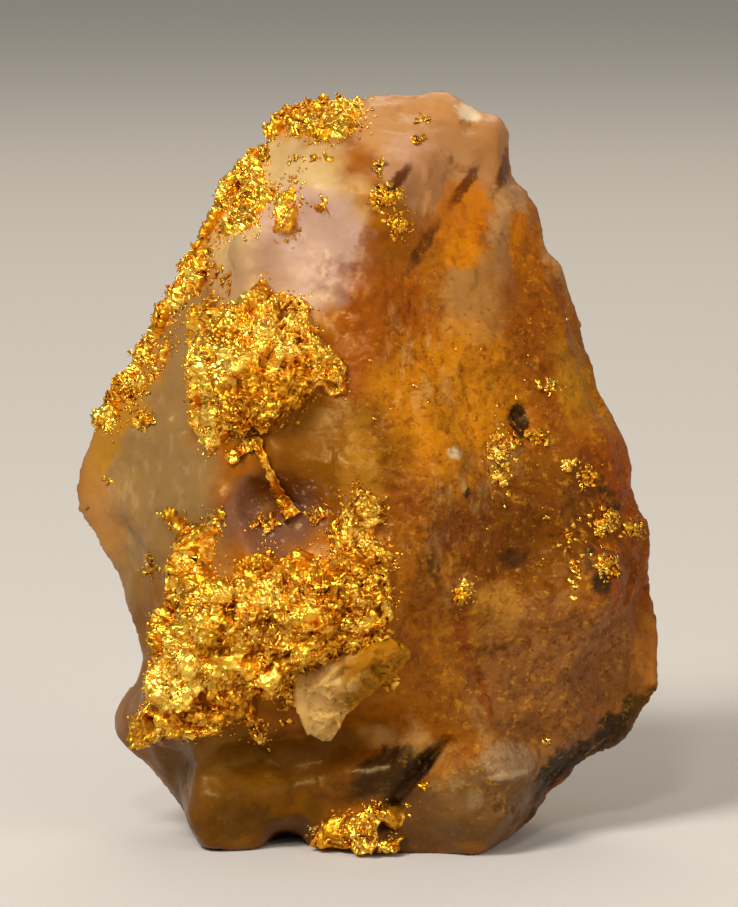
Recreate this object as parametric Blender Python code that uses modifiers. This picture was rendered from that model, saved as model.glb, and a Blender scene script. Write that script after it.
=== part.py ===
"""Gold in quartz: a broken piece of iron-stained vein quartz, 27 mm tall, that stands on its own underside.

Crusts and flecks of native gold cling to its face, its left edge and its top, and a pale chip of quartz
is held in the lower crust. Every piece of gold is a solid of its own that follows the skin of the stone.

The stone is worked out in its face frame, in millimetres: u runs right across the face, v runs up it,
and w comes out of it. face_to_world then leans the face back and sets the stone down on its cut
underside.
"""

import math
from collections import namedtuple

import bmesh
import bpy
import numpy as np
from mathutils import Matrix, Vector, noise

MM = 0.001
LEAN = math.radians(8)  # how far the face leans back from upright
SEAT_HEIGHT = 0.6  # height in the face frame of the flat that the stone stands on
SEAT_SHIFT = (0.08, -0.70)  # puts the origin under the middle of the whole piece
COLLECTION = "gold_in_quartz"

# ------------------------------------------------------------------ the quartz
SKIN_SUBDIVISIONS = 7
QUARTZ_VOXEL, QUARTZ_TRIANGLES = 0.17, 5200
# The corners of the flat that the stone stands on, in the world's x and y, and how fast the underside
# rises past it.
STANCE = ((-5.7, -2.6), (3.4, -3.9), (5.0, -0.3), (3.5, 3.9), (-1.8, 3.7), (-5.9, 0.8))
WORN_SLOPE = 0.15
CORE = (0.0, 13.4)  # a point of the face from which the whole outline is seen
BULGE = 1.8  # how soon the face spreads out behind its rim
EDGE_ROUNDING = 0.12  # where two facets meet

# The outline of the face, as (u, v), clockwise from the top. It runs on below the cut underside.
OUTLINE = (
    (0.1, 27.9), (1.1, 27.7), (3.0, 27.8), (3.4, 27.5), (3.8, 27.1), (4.7, 27.1), (5.0, 26.7),
    (5.2, 24.8), (6.1, 23.9), (6.6, 22.0), (7.1, 21.7), (7.5, 19.9), (8.7, 16.4), (9.3, 14.7),
    (9.5, 13.9), (10.1, 12.2), (10.3, 9.5), (10.6, 8.8), (10.8, 7.1), (10.7, 6.2), (10.3, 5.7),
    (9.3, 4.2), (7.7, 3.4), (6.5, 2.4), (5.6, 1.1), (4.9, 0.2), (3.4, -1.6), (-1.4, -1.7), (-4.6, -1.4),
    (-5.9, -0.6), (-6.6, 1.4), (-6.9, 2.0), (-7.1, 2.7), (-8.0, 3.5), (-9.1, 4.4), (-9.2, 4.9),
    (-8.6, 5.8), (-8.3, 7.0), (-8.6, 8.6), (-9.1, 9.8), (-10.0, 11.2), (-10.7, 12.3), (-10.8, 12.9),
    (-10.7, 13.5), (-10.2, 14.7), (-10.0, 15.6), (-9.2, 16.5), (-7.0, 20.5), (-5.8, 22.5), (-4.2, 25.7),
    (-3.7, 26.2), (-2.8, 27.0), (-2.2, 27.2), (-1.3, 27.2), (-0.7, 27.2),
)

# Each facet is a plane: the (u, v) of a point of it, its height w there, and how fast w rises along u and v.
FACE_FACETS = {
    "middle": ((-2.5, 12.0), 5.9, (0.08, -0.15)),
    "right": ((3.5, 14.5), 3.9, (-0.49, -0.17)),
    "lower_right": ((6.0, 6.0), 3.3, (-0.44, 0.14)),
    "right_edge": ((9.0, 11.0), 1.5, (-1.10, 0.10)),
    "upper_left": ((-3.5, 22.5), 3.2, (0.46, -0.44)),
    "left_flank": ((-8.5, 11.0), 3.0, (1.18, -0.06)),
    "crown": ((2.5, 26.5), 1.7, (-0.15, -0.80)),
    "foot": ((-4.0, 2.0), 3.5, (0.10, 0.35)),
}
BACK_FACETS = {
    "middle": ((0.0, 14.0), 5.8, (0.10, -0.10)),
    "right": ((6.0, 12.0), 4.2, (-0.60, 0.05)),
    "left": ((-6.0, 13.0), 4.0, (0.62, -0.12)),
    "upper": ((0.0, 23.0), 3.6, (-0.12, -0.52)),
    "lower": ((0.0, 4.0), 5.4, (0.06, 0.14)),
    "lower_left": ((-6.0, 5.0), 3.8, (0.70, 0.40)),
}
# How steeply the face and the back rise from the rim, at some bearings round CORE in degrees.
RIM_BEARINGS = (-180, -150, -125, -90, -60, -40, 0, 45, 90, 125, 150, 180)
FACE_RISE = (0.95, 1.3, 2.2, 4.5, 3.0, 1.7, 1.8, 1.8, 1.7, 1.5, 1.2, 0.95)
BACK_RISE = (1.1, 1.4, 2.2, 4.5, 3.0, 1.6, 1.6, 1.7, 1.6, 1.6, 1.3, 1.1)

# Hollows and bosses of the face: centre (u, v), half widths, how far it turns in degrees, and its height.
RELIEF = {
    "hollow_between_the_crusts": ((-3.4, 12.6), (2.4, 1.5), -20, -1.1),
    "shell_break": ((-2.2, 22.2), (2.5, 2.2), 20, -0.55),
    "undercut_below_the_crust": ((-2.0, 4.0), (5.4, 1.5), 12, -1.3),
    "dark_pit": ((5.4, 15.8), (0.5, 0.8), 15, -0.55),
    "upper_crust_seat": ((-4.2, 17.6), (3.4, 2.8), 0, 0.45),
    "lower_crust_seat": ((-3.6, 8.2), (5.0, 3.0), 0, 0.75),
    "arch_under_the_foot": ((-3.0, -0.2), (1.7, 1.9), 0, -2.2),
    "clear_knob": ((4.2, 1.9), (3.2, 2.7), 20, 1.5),
    "chip_on_the_knob": ((4.9, 3.5), (1.3, 0.9), -10, 0.45),
    "right_brow": ((7.6, 8.6), (3.0, 2.2), 30, 0.4),
}
CLEFT = ((0.3, 1.2), (2.7, 4.2))  # the dark cleft beside the knob, from end to end
CLEFT_WIDTH, CLEFT_DEPTH = 0.55, 0.9

SWELL = (5.5, 0.25)  # size and height of the slow unevenness of the skin
GRAIN = (1.5, 0.12)  # and of the small breaks on it
BREAK_COUNT, BREAK_SEED = 130, 11
BREAK_DEPTH, BREAK_TILT, BREAK_CURVE = 0.35, 0.15, 0.09  # the curve is the rise per square millimetre
BREAK_AT_RIM = 0.35

# ------------------------------------------------------------------ the gold
GAP = 0.3  # between the skin and what lies on it, and between two pieces
NOTCH = 0.9  # across one notch in a crust's edge
GOLD_LUMP = 0.75  # across one lump
GOLD_EDGE = 0.55  # how far in from its edge a crust reaches its full thickness
GOLD_EDGE_THICKNESS = 0.18
WRAP = 0.2  # gold wraps round the rim to where the skin's normal turns this far to the back
CRUST_FINENESS = (2, 0.09)  # how often the skin under a crust is quartered, and the voxel that closes it
FLECK_FINENESS = (3, 0.05)
NEAR = 2.5  # the skin that a crust is cut from comes this near to it
SHARPEST_MITRE = 0.45  # a point on a ridge is lifted at most the gap divided by this
SNAP = 0.02  # a cut or a crust's border goes through a point that is this near
LEVEL = 0.001  # a corner that lies this near the level of the flat is on it

UPPER_CRUST = (
    (-3.9, 20.9), (-3.4, 20.8), (-3.7, 20.4), (-2.3, 20.1), (-2.0, 19.6), (-1.9, 18.8), (-1.1, 18.2),
    (-0.8, 17.6), (-0.8, 16.6), (-1.5, 16.4), (-1.9, 17.0), (-2.0, 16.4), (-3.1, 15.7), (-3.6, 15.2),
    (-4.8, 15.2), (-5.1, 15.1), (-5.5, 14.1), (-6.2, 15.2), (-6.5, 17.1), (-6.6, 18.0), (-6.3, 19.3),
    (-6.0, 20.0), (-5.4, 19.9), (-4.6, 19.8),
)
LOWER_CRUST = (
    (-7.7, 12.5), (-7.0, 12.6), (-6.6, 12.1), (-5.9, 12.2), (-5.4, 12.5), (-5.2, 12.0), (-5.6, 11.0),
    (-5.3, 10.0), (-4.9, 9.9), (-4.8, 10.5), (-4.0, 10.9), (-3.5, 11.6), (-3.4, 10.6), (-2.7, 10.9),
    (-1.5, 10.9), (-1.5, 11.8), (-0.8, 12.8), (-0.6, 13.5), (-0.2, 13.7), (0.4, 13.2), (0.6, 12.4),
    (0.1, 11.7), (0.9, 11.4), (1.2, 11.1), (0.6, 10.3), (0.8, 8.8), (0.4, 8.3), (1.3, 8.2), (1.5, 6.7),
    (0.8, 6.1), (-0.9, 5.1), (-1.7, 4.2), (-2.5, 4.7), (-3.3, 5.5), (-3.9, 5.9), (-4.0, 5.1),
    (-3.7, 4.2), (-4.0, 4.0), (-4.6, 4.9), (-5.7, 4.6), (-6.4, 4.3), (-7.0, 4.6), (-7.7, 4.1),
    (-8.5, 4.5), (-8.6, 4.9), (-7.9, 5.8), (-7.6, 7.1), (-7.5, 8.1), (-7.4, 9.2), (-7.1, 9.7),
    (-7.2, 10.5), (-6.7, 11.2), (-6.9, 11.7),
)
PALE_CHIP = (
    (-2.6, 6.7), (-1.9, 6.9), (-0.8, 7.5), (0.6, 8.0), (1.0, 7.8), (1.1, 7.4), (0.2, 6.5), (-0.9, 5.6),
    (-1.3, 5.0), (-1.7, 4.6), (-2.3, 4.9), (-2.7, 6.0),
)
CREST_CRUST = (
    (-4.6, 26.6), (-3.5, 27.6), (-2.2, 28.2), (-0.8, 28.0), (-0.2, 27.3), (0.0, 26.8), (-0.3, 26.3),
    (-0.9, 25.8), (-1.6, 25.8), (-2.3, 26.0), (-3.0, 26.1), (-3.6, 26.0),
)
RIM_CRUST = (
    (-4.4, 26.1), (-3.7, 25.6), (-3.7, 24.6), (-3.0, 24.3), (-2.6, 24.8), (-2.3, 24.6), (-2.7, 23.6),
    (-2.4, 22.9), (-2.7, 22.2), (-3.4, 22.2), (-3.7, 23.4), (-4.2, 22.4), (-5.2, 22.5), (-5.7, 21.6),
    (-6.1, 20.6), (-6.6, 19.8), (-7.1, 18.6), (-7.7, 17.4), (-8.5, 16.2), (-9.5, 15.3), (-10.4, 15.5),
    (-8.9, 18.8), (-7.7, 21.0), (-6.6, 23.0), (-5.2, 25.8),
)
BASE_FLAKE = (
    (-2.2, 0.7), (-2.0, 1.1), (-1.1, 1.6), (-0.3, 1.8), (0.0, 2.0), (0.8, 1.9), (1.4, 2.0), (1.7, 1.8),
    (0.8, 1.5), (0.3, 1.3), (0.2, 0.6), (0.9, 0.9), (1.1, 0.7), (0.9, -0.4), (-1.2, -0.4), (-1.7, 0.2),
)
STRAND = (
    (-4.8, 14.0), (-4.3, 14.5), (-3.9, 14.4), (-3.3, 13.5), (-2.9, 12.7), (-2.5, 12.2), (-2.6, 11.8),
    (-3.0, 11.9), (-3.4, 12.7), (-3.8, 13.6), (-4.2, 14.0), (-4.7, 13.7),
)

# Each crust: its outline, how deep the notches in its edge are, its thickness, how high its lumps stand,
# and how many triangles it keeps.
CRUSTS = {
    "gold_crust_upper": (UPPER_CRUST, 0.22, 0.54, 0.44, 820),
    "gold_crust_lower": (LOWER_CRUST, 0.20, 0.52, 0.44, 1300),
    "gold_crest": (CREST_CRUST, 0.20, 0.32, 0.18, 320),
    "gold_rim": (RIM_CRUST, 0.22, 0.26, 0.16, 700),
    "gold_base_flake": (BASE_FLAKE, 0.06, 0.36, 0.15, 300),
    "gold_strand": (STRAND, 0.0, 0.34, 0.10, 180),
}
CHIP_SIZES = (0.75, 0.12, 200)  # its thickness, the height of its lumps, and its triangles

# Each fleck: where its middle lies on the face, its half widths, and how far it turns in degrees.
FLECKS = {
    "gold_fleck_left": ((-8.3, 15.9), (0.40, 0.32), 10),
    "gold_fleck_flank": ((-8.0, 10.4), (0.22, 0.34), 15),
    "gold_fleck_shoulder": ((0.6, 23.8), (0.42, 0.36), 0),
    "gold_fleck_brow": ((1.0, 22.9), (0.34, 0.46), -10),
    "gold_fleck_hollow": ((-3.9, 12.0), (0.42, 0.24), 25),
    "gold_fleck_bridge": ((-2.0, 12.4), (0.36, 0.24), -20),
    "gold_fleck_bar": ((3.3, 9.6), (0.22, 0.46), -12),
    "gold_fleck_right_upper": ((4.6, 14.8), (0.36, 0.44), 0),
    "gold_fleck_right_lower": ((4.5, 13.9), (0.40, 0.32), -30),
    "gold_fleck_edge_upper": ((7.8, 13.7), (0.30, 0.34), 0),
    "gold_fleck_edge_middle": ((8.5, 12.1), (0.38, 0.34), 0),
    "gold_fleck_edge_lower": ((8.5, 10.4), (0.28, 0.46), 0),
    "gold_fleck_rim_right": ((9.6, 11.8), (0.26, 0.26), 0),
}
FLECK_SIZES = (0.30, 0.08, 48)

# ------------------------------------------------------------------ finishes: colour, metallic, roughness
QUARTZ = ((0.55, 0.27, 0.05, 1.0), 0.0, 0.35)
PALE_QUARTZ = ((0.72, 0.52, 0.24, 1.0), 0.0, 0.4)
GOLD = ((1.0, 0.66, 0.18, 1.0), 1.0, 0.25)


# The stone's surface in the face frame, as arrays. A face whose points are moved along their lifts lies
# as far away as it was moved, also where it meets a ridge.
Skin = namedtuple("Skin", "points triangles normals lifts")


def face_to_world():
    """The matrix that takes a point of the face frame, in millimetres, to its place in the world."""
    up = Vector((0, math.sin(LEAN), math.cos(LEAN)))
    out = Vector((0, -math.cos(LEAN), math.sin(LEAN)))
    turn = Matrix((Vector((1, 0, 0)), up, out)).transposed().to_4x4()
    down = Matrix.Translation((SEAT_SHIFT[0], SEAT_SHIFT[1], -SEAT_HEIGHT))
    return Matrix.Scale(MM, 4) @ down @ turn


def material(name, finish):
    """A Principled material from a (colour, metallic, roughness) finish."""
    colour, metallic, roughness = finish
    made = bpy.data.materials.new(name)
    made.use_nodes = True
    shader = made.node_tree.nodes["Principled BSDF"]
    shader.inputs["Base Color"].default_value = colour
    shader.inputs["Metallic"].default_value = metallic
    shader.inputs["Roughness"].default_value = roughness
    return made


def unevenness(points, size, octaves, seed):
    """Fractal noise of about -1 to 1 at each point, with features of the given size in millimetres."""
    start = Vector((seed * 7.3, seed * 3.1, seed * 5.7))
    return np.array([noise.fractal(Vector(p) / size + start, 1.0, 2.0, octaves) for p in points])


def lumpiness(points, size, seed):
    """How far each point stands up on rounded lumps of the given size: 0 in the creases, 1 on the tops."""
    start = Vector((seed * 5.1, seed * 2.3, seed * 4.9))
    nearest = [noise.voronoi(Vector(p) / size + start)[0][0] for p in points]
    return 1.0 - np.clip(np.array(nearest) / 0.75, 0.0, 1.0) ** 2


def smooth_step(values, low, high):
    """0 below low, 1 above high, and an S curve between."""
    share = np.clip((values - low) / (high - low), 0.0, 1.0)
    return share * share * (3 - 2 * share)


def rim_distance(bearings):
    """How far the outline lies from CORE along each bearing, in radians."""
    starts = np.array(OUTLINE) - CORE
    sides = np.roll(starts, -1, axis=0) - starts
    rays = np.stack([np.cos(bearings), np.sin(bearings)], axis=1)[:, None, :]
    across = rays[..., 0] * sides[:, 1] - rays[..., 1] * sides[:, 0]
    across = np.where(across == 0, 1e-12, across)  # a ray along a side meets its neighbours instead
    along_ray = (starts[:, 0] * sides[:, 1] - starts[:, 1] * sides[:, 0]) / across
    along_side = (starts[:, 0] * rays[..., 1] - starts[:, 1] * rays[..., 0]) / across
    hit = (along_ray > 0) & (along_side >= -1e-6) & (along_side <= 1 + 1e-6)
    return np.where(hit, along_ray, np.inf).min(axis=1)


def facet_heights(flat, facets):
    """The height of each facet's plane over each (u, v) point, one column a facet."""
    columns = [
        height + (flat[:, 0] - middle[0]) * slope[0] + (flat[:, 1] - middle[1]) * slope[1]
        for middle, height, slope in facets.values()
    ]
    return np.stack(columns, axis=1)


def lowest_of(heights):
    """The lowest height of each row, rounded over where two nearly tie."""
    return -EDGE_ROUNDING * np.log(np.exp(-heights / EDGE_ROUNDING).sum(axis=1))


def relief_at(flat):
    """How far the named hollows and bosses move the face at each (u, v) point."""
    moved = np.zeros(len(flat))
    for (middle, half, turn, height) in RELIEF.values():
        c, s = math.cos(math.radians(turn)), math.sin(math.radians(turn))
        offset = flat - middle
        along = (offset[:, 0] * c + offset[:, 1] * s) / half[0]
        across = (offset[:, 1] * c - offset[:, 0] * s) / half[1]
        moved += height * smooth_step(1.0 - np.hypot(along, across), 0.0, 0.8)
    return moved - CLEFT_DEPTH * np.clip(1.0 - distance_to_line(flat, CLEFT) / CLEFT_WIDTH, 0.0, 1.0)


def distance_to_line(flat, line):
    """The distance from each (u, v) point to the nearest point of an open line."""
    nearest = np.full(len(flat), np.inf)
    for start, end in zip(np.array(line[:-1]), np.array(line[1:])):
        side = end - start
        share = np.clip((flat - start) @ side / (side @ side), 0.0, 1.0)
        nearest = np.minimum(nearest, np.linalg.norm(flat - start - share[:, None] * side, axis=1))
    return nearest


def depth_inside(flat, outline):
    """How far each (u, v) point lies inside a closed outline, and negative outside it."""
    nearest = distance_to_line(flat, (*outline, outline[0]))
    inside = np.zeros(len(flat), bool)
    for (u0, v0), (u1, v1) in zip(outline, (*outline[1:], outline[0])):
        if v0 == v1:
            continue
        level = (flat[:, 1] >= min(v0, v1)) & (flat[:, 1] < max(v0, v1))
        inside ^= level & (flat[:, 0] < u0 + (flat[:, 1] - v0) * (u1 - u0) / (v1 - v0))
    return np.where(inside, nearest, -nearest)


def blown_up(directions):
    """Takes the points of a unit ball to the stone's outline and facets, and says how far in each then is."""
    bearings = np.arctan2(directions[:, 1], directions[:, 0])
    toward = np.arcsin(np.clip(directions[:, 2], -1, 1)) / (math.pi / 2)
    rim = rim_distance(bearings)
    from_core = rim * (1.0 - np.abs(toward) ** BULGE)
    flat = np.stack([np.cos(bearings) * from_core, np.sin(bearings) * from_core], axis=1) + CORE
    sides = ((FACE_FACETS, FACE_RISE, 1.0), (BACK_FACETS, BACK_RISE, -1.0))
    height = np.zeros(len(flat))
    for facets, rises, sign in sides:
        rise = np.interp(np.degrees(bearings), RIM_BEARINGS, rises) * (rim - from_core)
        surface = lowest_of(np.column_stack([facet_heights(flat, facets), rise]))
        height = np.where(toward * sign > 0, sign * np.maximum(surface, 0.0), height)
    return np.column_stack([flat, height]), rim - from_core


def knapped(points, triangles, inward):
    """Shallow shell-shaped breaks all over the stone, which meet in ridges and are shallower at the rim."""
    corners = points[triangles]
    areas = np.linalg.norm(np.cross(corners[:, 1] - corners[:, 0], corners[:, 2] - corners[:, 0]), axis=1)
    random = np.random.default_rng(BREAK_SEED)
    middles = corners[random.choice(len(triangles), BREAK_COUNT, p=areas / areas.sum())].mean(axis=1)
    lowest = np.full(len(points), np.inf)
    for middle in middles:
        offset = points - middle
        depth, tilt = random.uniform(0.0, BREAK_DEPTH), random.normal(0.0, BREAK_TILT, 3)
        lowest = np.minimum(lowest, BREAK_CURVE * (offset**2).sum(axis=1) + offset @ tilt - depth)
    moved = (lowest - lowest.mean()) * (BREAK_AT_RIM + (1.0 - BREAK_AT_RIM) * smooth_step(inward, 0.0, 2.0))
    return points + normals_of(points, triangles, 10) * moved[:, None]


def normals_of(points, triangles, rounds):
    """A unit normal at each point, evened out over its neighbours as many times as rounds says."""
    corners = points[triangles]
    faces = np.cross(corners[:, 1] - corners[:, 0], corners[:, 2] - corners[:, 0])
    normals = np.zeros_like(points)
    for corner in range(3):
        np.add.at(normals, triangles[:, corner], faces)
    normals /= np.linalg.norm(normals, axis=1)[:, None]
    for _ in range(rounds):
        spread = normals[triangles].sum(axis=1)
        for corner in range(3):
            np.add.at(normals, triangles[:, corner], spread)
        normals /= np.linalg.norm(normals, axis=1)[:, None]
    return normals


def fine_stone():
    """The whole stone in fine triangles, before it is lightened and its underside is cut, as a mesh."""
    ball = bmesh.new()
    bmesh.ops.create_icosphere(ball, subdivisions=SKIN_SUBDIVISIONS, radius=1.0)
    directions = np.array([vertex.co for vertex in ball.verts])  # its poles look along w
    triangles = np.array([[vertex.index for vertex in face.verts] for face in ball.faces])
    points, inward = blown_up(directions)
    moved = relief_at(points[:, :2]) * smooth_step(inward, 0.0, 0.8)
    points[:, 2] += np.where(directions[:, 2] > 0, moved, 0.0)
    points[:, 2] += SWELL[1] * unevenness(points, SWELL[0], 3, 1)
    points = knapped(points, triangles, inward)
    grain = unevenness(points, GRAIN[0], 3, 2) * GRAIN[1]
    points = points + normals_of(points, triangles, 6) * grain[:, None]
    for vertex, point in zip(ball.verts, points):
        vertex.co = point
    mesh = bpy.data.meshes.new("fine_stone")
    ball.to_mesh(mesh)
    ball.free()
    return mesh


def mesh_object(name, mesh, finish, group):
    """Links a mesh to the scene as a named piece, in its place in the world, with its flat exactly at 0."""
    mesh.transform(face_to_world())
    for vertex in mesh.vertices:
        if abs(vertex.co.z) < LEVEL * MM:
            vertex.co.z = 0.0
    mesh.materials.append(finish)
    piece = bpy.data.objects.new(name, mesh)
    group.objects.link(piece)
    return piece


def evaluated(source):
    """The mesh that an object's modifiers make of it."""
    graph = bpy.context.evaluated_depsgraph_get()
    return bpy.data.meshes.new_from_object(source.evaluated_get(graph))


def closed_and_lightened(name, mesh, voxel, triangles):
    """The mesh made one closed surface of even voxels, and then lightened to about so many triangles."""
    source = bpy.data.objects.new(name + "_source", mesh)
    bpy.context.scene.collection.objects.link(source)
    remesh = source.modifiers.new("close", "REMESH")
    remesh.mode = "VOXEL"
    remesh.voxel_size = voxel
    share = triangles / (2 * len(evaluated(source).polygons))
    decimate = source.modifiers.new("lighten", "DECIMATE")
    decimate.ratio = min(1.0, share)
    made = evaluated(source)
    bpy.data.objects.remove(source)
    made.name = name
    return made


def cut_off(mesh, planes):
    """Cuts a mesh off flat along planes of the world, each a place in millimetres and the way in from it."""
    back = face_to_world().inverted()
    cut = bmesh.new()
    cut.from_mesh(mesh)
    for place, inward in planes:
        through, toward = back @ (Vector(place) * MM), (back.to_3x3() @ Vector(inward)).normalized()
        everything = [*cut.verts, *cut.edges, *cut.faces]
        plane = {"plane_co": through, "plane_no": toward, "dist": SNAP, "use_snap_center": True}
        bmesh.ops.bisect_plane(cut, geom=everything, clear_inner=True, **plane)
        bmesh.ops.holes_fill(cut, edges=[edge for edge in cut.edges if edge.is_boundary])
    bmesh.ops.remove_doubles(cut, verts=cut.verts, dist=SNAP / 2)
    keep_one_sheet(cut)
    bmesh.ops.triangulate(cut, faces=cut.faces)
    bmesh.ops.recalc_face_normals(cut, faces=cut.faces)
    cut.to_mesh(mesh)
    cut.free()


def underside_planes():
    """The planes that cut the underside: one past each side of the flat it stands on, and then the flat."""
    planes = []
    for start, end in zip(STANCE, (*STANCE[1:], STANCE[0])):
        along = (Vector(end) - Vector(start)).normalized()
        planes.append(((*start, 0), (-along.y * WORN_SLOPE, along.x * WORN_SLOPE, 1)))
    return [*planes, ((0, 0, 0), (0, 0, 1))]


def skin_of(mesh):
    """The surface of a triangulated mesh."""
    points = np.array([vertex.co for vertex in mesh.vertices])
    triangles = np.array([polygon.vertices for polygon in mesh.polygons])
    normals = normals_of(points, triangles, 1)
    least = np.ones(len(points))
    for corner in range(3):
        facing = np.array([polygon.normal for polygon in mesh.polygons]) * normals[triangles[:, corner]]
        np.minimum.at(least, triangles[:, corner], facing.sum(axis=1))
    return Skin(points, triangles, normals, normals / np.clip(least, SHARPEST_MITRE, 1.0)[:, None])


def part_near(skin, depth):
    """The part of the skin whose triangles come near the inside of a region."""
    kept = skin.triangles[(depth[skin.triangles] > -NEAR).any(axis=1)]
    used, index = np.unique(kept, return_inverse=True)
    return Skin(skin.points[used], index.reshape(-1, 3), skin.normals[used], skin.lifts[used])


def quartered(skin):
    """The same surface with each triangle parted into four, so that its faces stay flat."""
    a, b, c = skin.triangles.T
    sides = np.sort(np.concatenate([np.stack([a, b]), np.stack([b, c]), np.stack([c, a])], axis=1).T, axis=1)
    unique, index = np.unique(sides, axis=0, return_inverse=True)
    ab, bc, ca = index.reshape(3, -1) + len(skin.points)
    corners = (np.stack([a, ab, ca]), np.stack([ab, b, bc]), np.stack([ca, bc, c]), np.stack([ab, bc, ca]))
    triangles = np.concatenate(corners, axis=1).T
    points, normals, lifts = (
        np.concatenate([values, values[unique].mean(axis=1)])
        for values in (skin.points, skin.normals, skin.lifts)
    )
    return Skin(points, triangles, normals, lifts)


def patch_of(skin, values):
    """The part of the skin where values is positive, cut cleanly along the line where it is zero."""
    values = np.where(np.abs(values) < SNAP, 0.0, values)
    near = skin.triangles[(values[skin.triangles] > 0).any(axis=1)]
    used, index = np.unique(near, return_inverse=True)
    patch = bmesh.new()
    level = patch.verts.layers.float.new("level")
    skin_index = patch.verts.layers.int.new("skin_index")
    for i in used:
        vertex = patch.verts.new(skin.points[i])
        vertex[level] = values[i]
        vertex[skin_index] = i
    patch.verts.ensure_lookup_table()
    for a, b, c in index.reshape(-1, 3):
        patch.faces.new((patch.verts[a], patch.verts[b], patch.verts[c]))
    for edge in list(patch.edges):
        first, second = edge.verts
        if first[level] * second[level] < 0:
            share = first[level] / (first[level] - second[level])
            near_index = first[skin_index] if share < 0.5 else second[skin_index]
            _, added = bmesh.utils.edge_split(edge, first, share)
            added[level] = 0.0
            added[skin_index] = near_index
    for face in list(patch.faces):
        levels = [vertex[level] for vertex in face.verts]
        if levels.count(0.0) == 2 and min(levels) < 0 < max(levels):
            bmesh.utils.face_split(face, *(vertex for vertex in face.verts if vertex[level] == 0.0))
    outside = [face for face in patch.faces if any(vertex[level] < 0 for vertex in face.verts)]
    bmesh.ops.delete(patch, geom=outside, context="FACES")
    flat = [face for face in patch.faces if all(vertex[level] == 0.0 for vertex in face.verts)]
    bmesh.ops.delete(patch, geom=flat, context="FACES")
    keep_one_sheet(patch)
    bmesh.ops.triangulate(patch, faces=patch.faces)
    return patch, level, skin_index


def keep_one_sheet(patch):
    """Deletes all but the largest connected sheet, and parts sheets that touch at one point only."""
    while True:
        pinched = [v for v in patch.verts if sum(edge.is_boundary for edge in v.link_edges) > 2]
        if not pinched:
            break
        bmesh.ops.delete(patch, geom=pinched, context="VERTS")
    largest, seen = set(), set()
    for face in patch.faces:
        if face in seen:
            continue
        sheet, waiting = {face}, [face]
        while waiting:
            around = {other for edge in waiting.pop().edges for other in edge.link_faces} - sheet
            sheet |= around
            waiting += around
        seen |= sheet
        largest = max(largest, sheet, key=len)
    bmesh.ops.delete(patch, geom=[face for face in patch.faces if face not in largest], context="FACES")
    bmesh.ops.delete(patch, geom=[v for v in patch.verts if not v.link_faces], context="VERTS")


def grown_on(name, skin, region, rounds, thickness, lump):
    """A closed crust over the part of the skin where the region's depth is positive.

    It follows the skin a gap away, and is thin at its edge and lumpy on top. Its underside is made of flat
    faces that lie along the skin's own, so it stays clear of them.
    """
    skin = part_near(skin, region(skin.points))
    for _ in range(rounds):
        skin = quartered(skin)
    on_face = skin.normals[:, 2] + WRAP
    patch, level, skin_index = patch_of(skin, np.minimum(region(skin.points), on_face))
    made = bmesh.ops.extrude_face_region(patch, geom=list(patch.faces), use_keep_orig=True)
    top = [item for item in made["geom"] if isinstance(item, bmesh.types.BMVert)]
    lumps = lump * lumpiness(np.array([vertex.co for vertex in top]), GOLD_LUMP, 4)
    inward = smooth_step(np.array([vertex[level] for vertex in top]), 0.0, GOLD_EDGE)
    heights = GOLD_EDGE_THICKNESS + (thickness - GOLD_EDGE_THICKNESS + lumps) * inward
    for vertex, height in zip(top, heights):
        vertex.co += Vector(skin.normals[vertex[skin_index]]) * height
    for vertex in patch.verts:
        vertex.co += Vector(skin.lifts[vertex[skin_index]]) * GAP
    bmesh.ops.recalc_face_normals(patch, faces=patch.faces)
    mesh = bpy.data.meshes.new(name)
    patch.to_mesh(mesh)
    patch.free()
    return mesh


def crust_region(outline, notches=0.0):
    """A function that says how far a point lies inside an outline with notches worn into it."""

    def depth(points):
        return depth_inside(points[:, :2], outline) + notches * unevenness(points, NOTCH, 2, 6)

    return depth


def fleck_region(middle, half, turn):
    """A function that says how far a point lies inside a fleck's ellipse."""
    c, s = math.cos(math.radians(turn)), math.sin(math.radians(turn))

    def depth(points):
        offset = points[:, :2] - middle
        along = (offset[:, 0] * c + offset[:, 1] * s) / half[0]
        across = (offset[:, 1] * c - offset[:, 0] * s) / half[1]
        return (1.0 - np.hypot(along, across)) * min(half)

    return depth


def clear_of(region, others):
    """The region less what comes nearer than the gap to any of the others."""

    def depth(points):
        return np.minimum.reduce([region(points), *(-other(points) - GAP for other in others)])

    return depth


def build_gold(skin, gold, pale, group):
    """The pale chip of quartz, and every crust and fleck of gold round it."""
    pieces = {"pale_chip": (crust_region(PALE_CHIP), CRUST_FINENESS, CHIP_SIZES, pale)}
    for name, (outline, notches, *sizes) in CRUSTS.items():
        pieces[name] = (crust_region(outline, notches), CRUST_FINENESS, sizes, gold)
    for name, ellipse in FLECKS.items():
        pieces[name] = (fleck_region(*ellipse), FLECK_FINENESS, FLECK_SIZES, gold)
    earlier = []
    for name, (region, (rounds, voxel), (thickness, lump, triangles), finish) in pieces.items():
        mesh = grown_on(name, skin, clear_of(region, earlier), rounds, thickness, lump)
        cut_off(mesh, [((0, 0, GAP / 2), (0, 0, 1))])
        mesh_object(name, closed_and_lightened(name, mesh, voxel, triangles), finish, group)
        earlier.append(region)


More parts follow.
